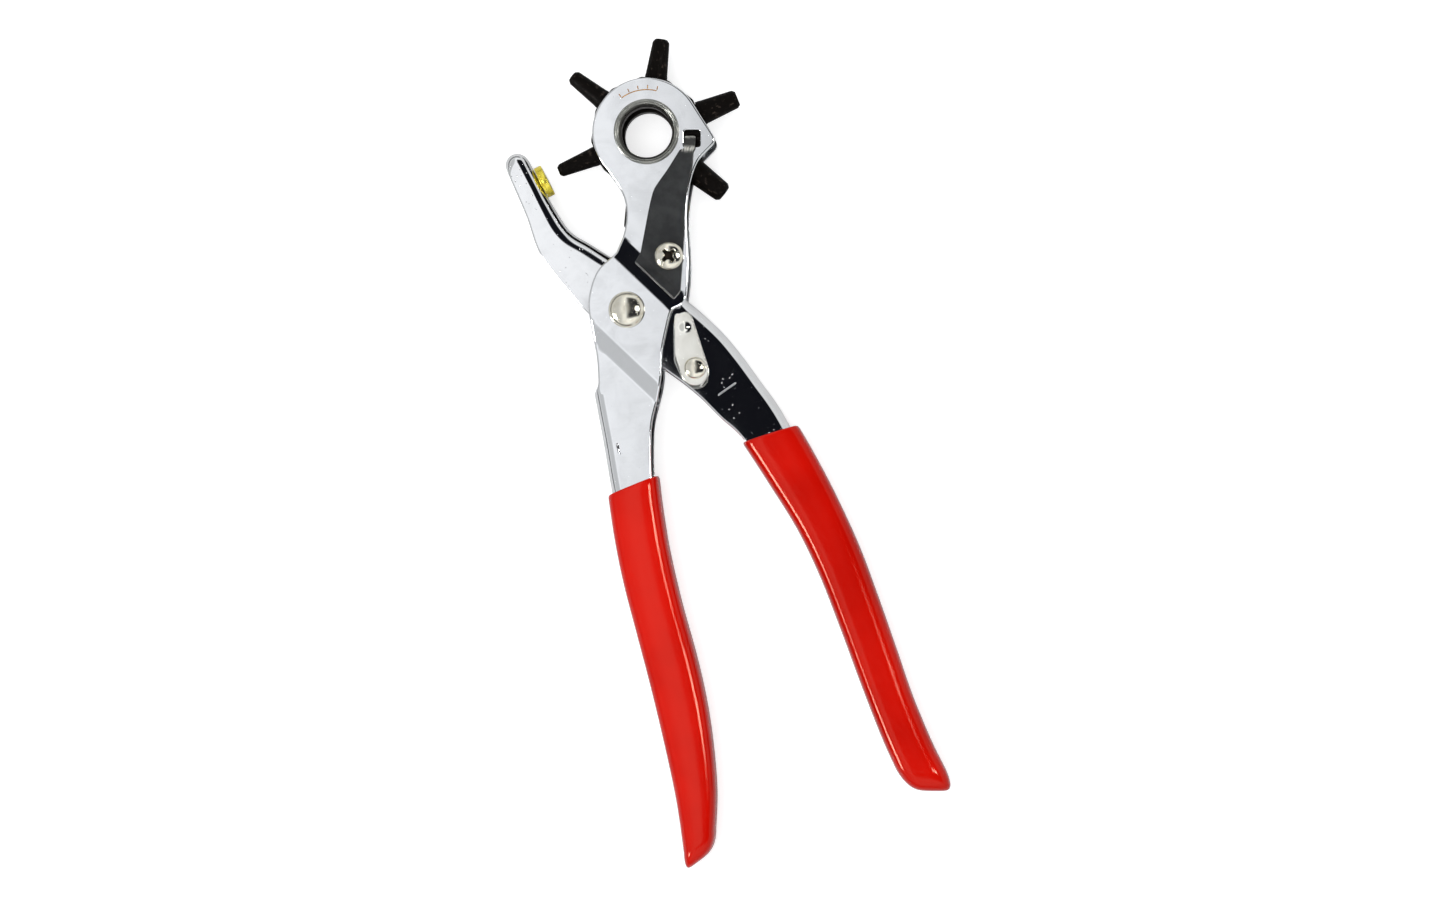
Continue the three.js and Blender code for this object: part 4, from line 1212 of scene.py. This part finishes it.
def studio_world():
    """Soft light all round, with a dark card above the right half.

    Its patches are placed by a direction's share to the right, ahead and up. The card gives the steep
    faces their black reflection, and two small lamps, seen only in gloss, give the domes their glints."""
    world = bpy.data.worlds.new("studio")
    bpy.context.scene.world = world
    world.use_nodes = True
    world.node_tree.nodes.clear()
    g = Graph(world.node_tree)
    way = g.node("TexCoord").outputs["Generated"]
    right, ahead, high = g.dot(way, RIGHT), g.dot(way, UPWARD), g.dot(way, (0, 0, 1))

    def between(value, start, full, until, end):
        """1 from full to until, and 0 before start and after end."""
        return g.times(g.levels(value, start, full), g.levels(value, end, until))

    def grey(level):
        return rgb(level, level, level)

    card = g.times(g.times(g.levels(right, -0.095, 0.03), g.levels(high, 0.42, 0.56)),
                   between(ahead, -0.45, -0.33, 0.66, 0.80))
    ceiling = g.colour(g.levels(right, -0.42, -0.10), rgb(0.55, 0.56, 0.57), rgb(0.98, 0.995, 1.015))
    room = g.colour(g.levels(high, 0.30, 0.62), rgb(0.70, 0.71, 0.71), ceiling)
    skyline = g.times(between(high, -0.10, 0.02, 0.20, 0.32), g.levels(right, 0.45, 0.15))
    room = g.colour(skyline, room, rgb(0.16, 0.165, 0.17))
    lamp_right = g.times(between(right, 0.46, 0.50, 0.66, 0.70), between(ahead, 0.03, 0.07, 0.14, 0.18))
    lamp_left = g.times(between(right, -0.84, -0.80, -0.70, -0.66),
                        between(ahead, -0.50, -0.46, -0.31, -0.27))
    path = g.node("LightPath").outputs
    direct_shine = g.times(path["Is Glossy Ray"], g.levels(path["Diffuse Depth"], 0.5, 0.4))
    card_lit = g.colour(g.times(lamp_right, direct_shine), rgb(0.006, 0.0065, 0.009), grey(26.0))
    room = g.colour(g.times(lamp_left, direct_shine), room, grey(30.0))
    seen = g.colour(path["Is Camera Ray"], g.colour(card, room, card_lit), grey(0.93))
    background = g.node("Background")
    g.wire(seen, background.inputs["Color"])
    g.wire(background.outputs[0], g.node("OutputWorld").inputs["Surface"])


studio_world()

light = bpy.data.lights.new("overhead", "AREA")
light.shape = "RECTANGLE"
light.size = light.size_y = 1.6
light.energy = 21
lamp = bpy.data.objects.new("overhead", light)
lamp.location = (-0.2, 0.1, 1.6)
lamp.rotation_mode = "QUATERNION"
lamp.rotation_quaternion = (-lamp.location).to_track_quat("-Z", "Y")
lamp.visible_glossy = False
bpy.context.scene.collection.objects.link(lamp)

camera_place = Vector((36.1, -106.0, 1015.0)) * MM
looks_at = Vector((9.7, -45.8, 15.0)) * MM
VIEW_WIDTH = 394.8 * MM
camera = bpy.data.cameras.new("camera")
view = bpy.data.objects.new("camera", camera)
forward = (looks_at - camera_place).normalized()
side = forward.cross(Vector(UPWARD)).normalized()
above = side.cross(forward)
facing = Matrix((side, above, -forward)).transposed().to_4x4()
view.matrix_world = Matrix.Translation(camera_place) @ facing
camera.sensor_width = 36
camera.lens = camera.sensor_width * (looks_at - camera_place).length / VIEW_WIDTH
bpy.context.scene.collection.objects.link(view)
bpy.context.scene.camera = view
bpy.context.scene.view_settings.view_transform = "Standard"
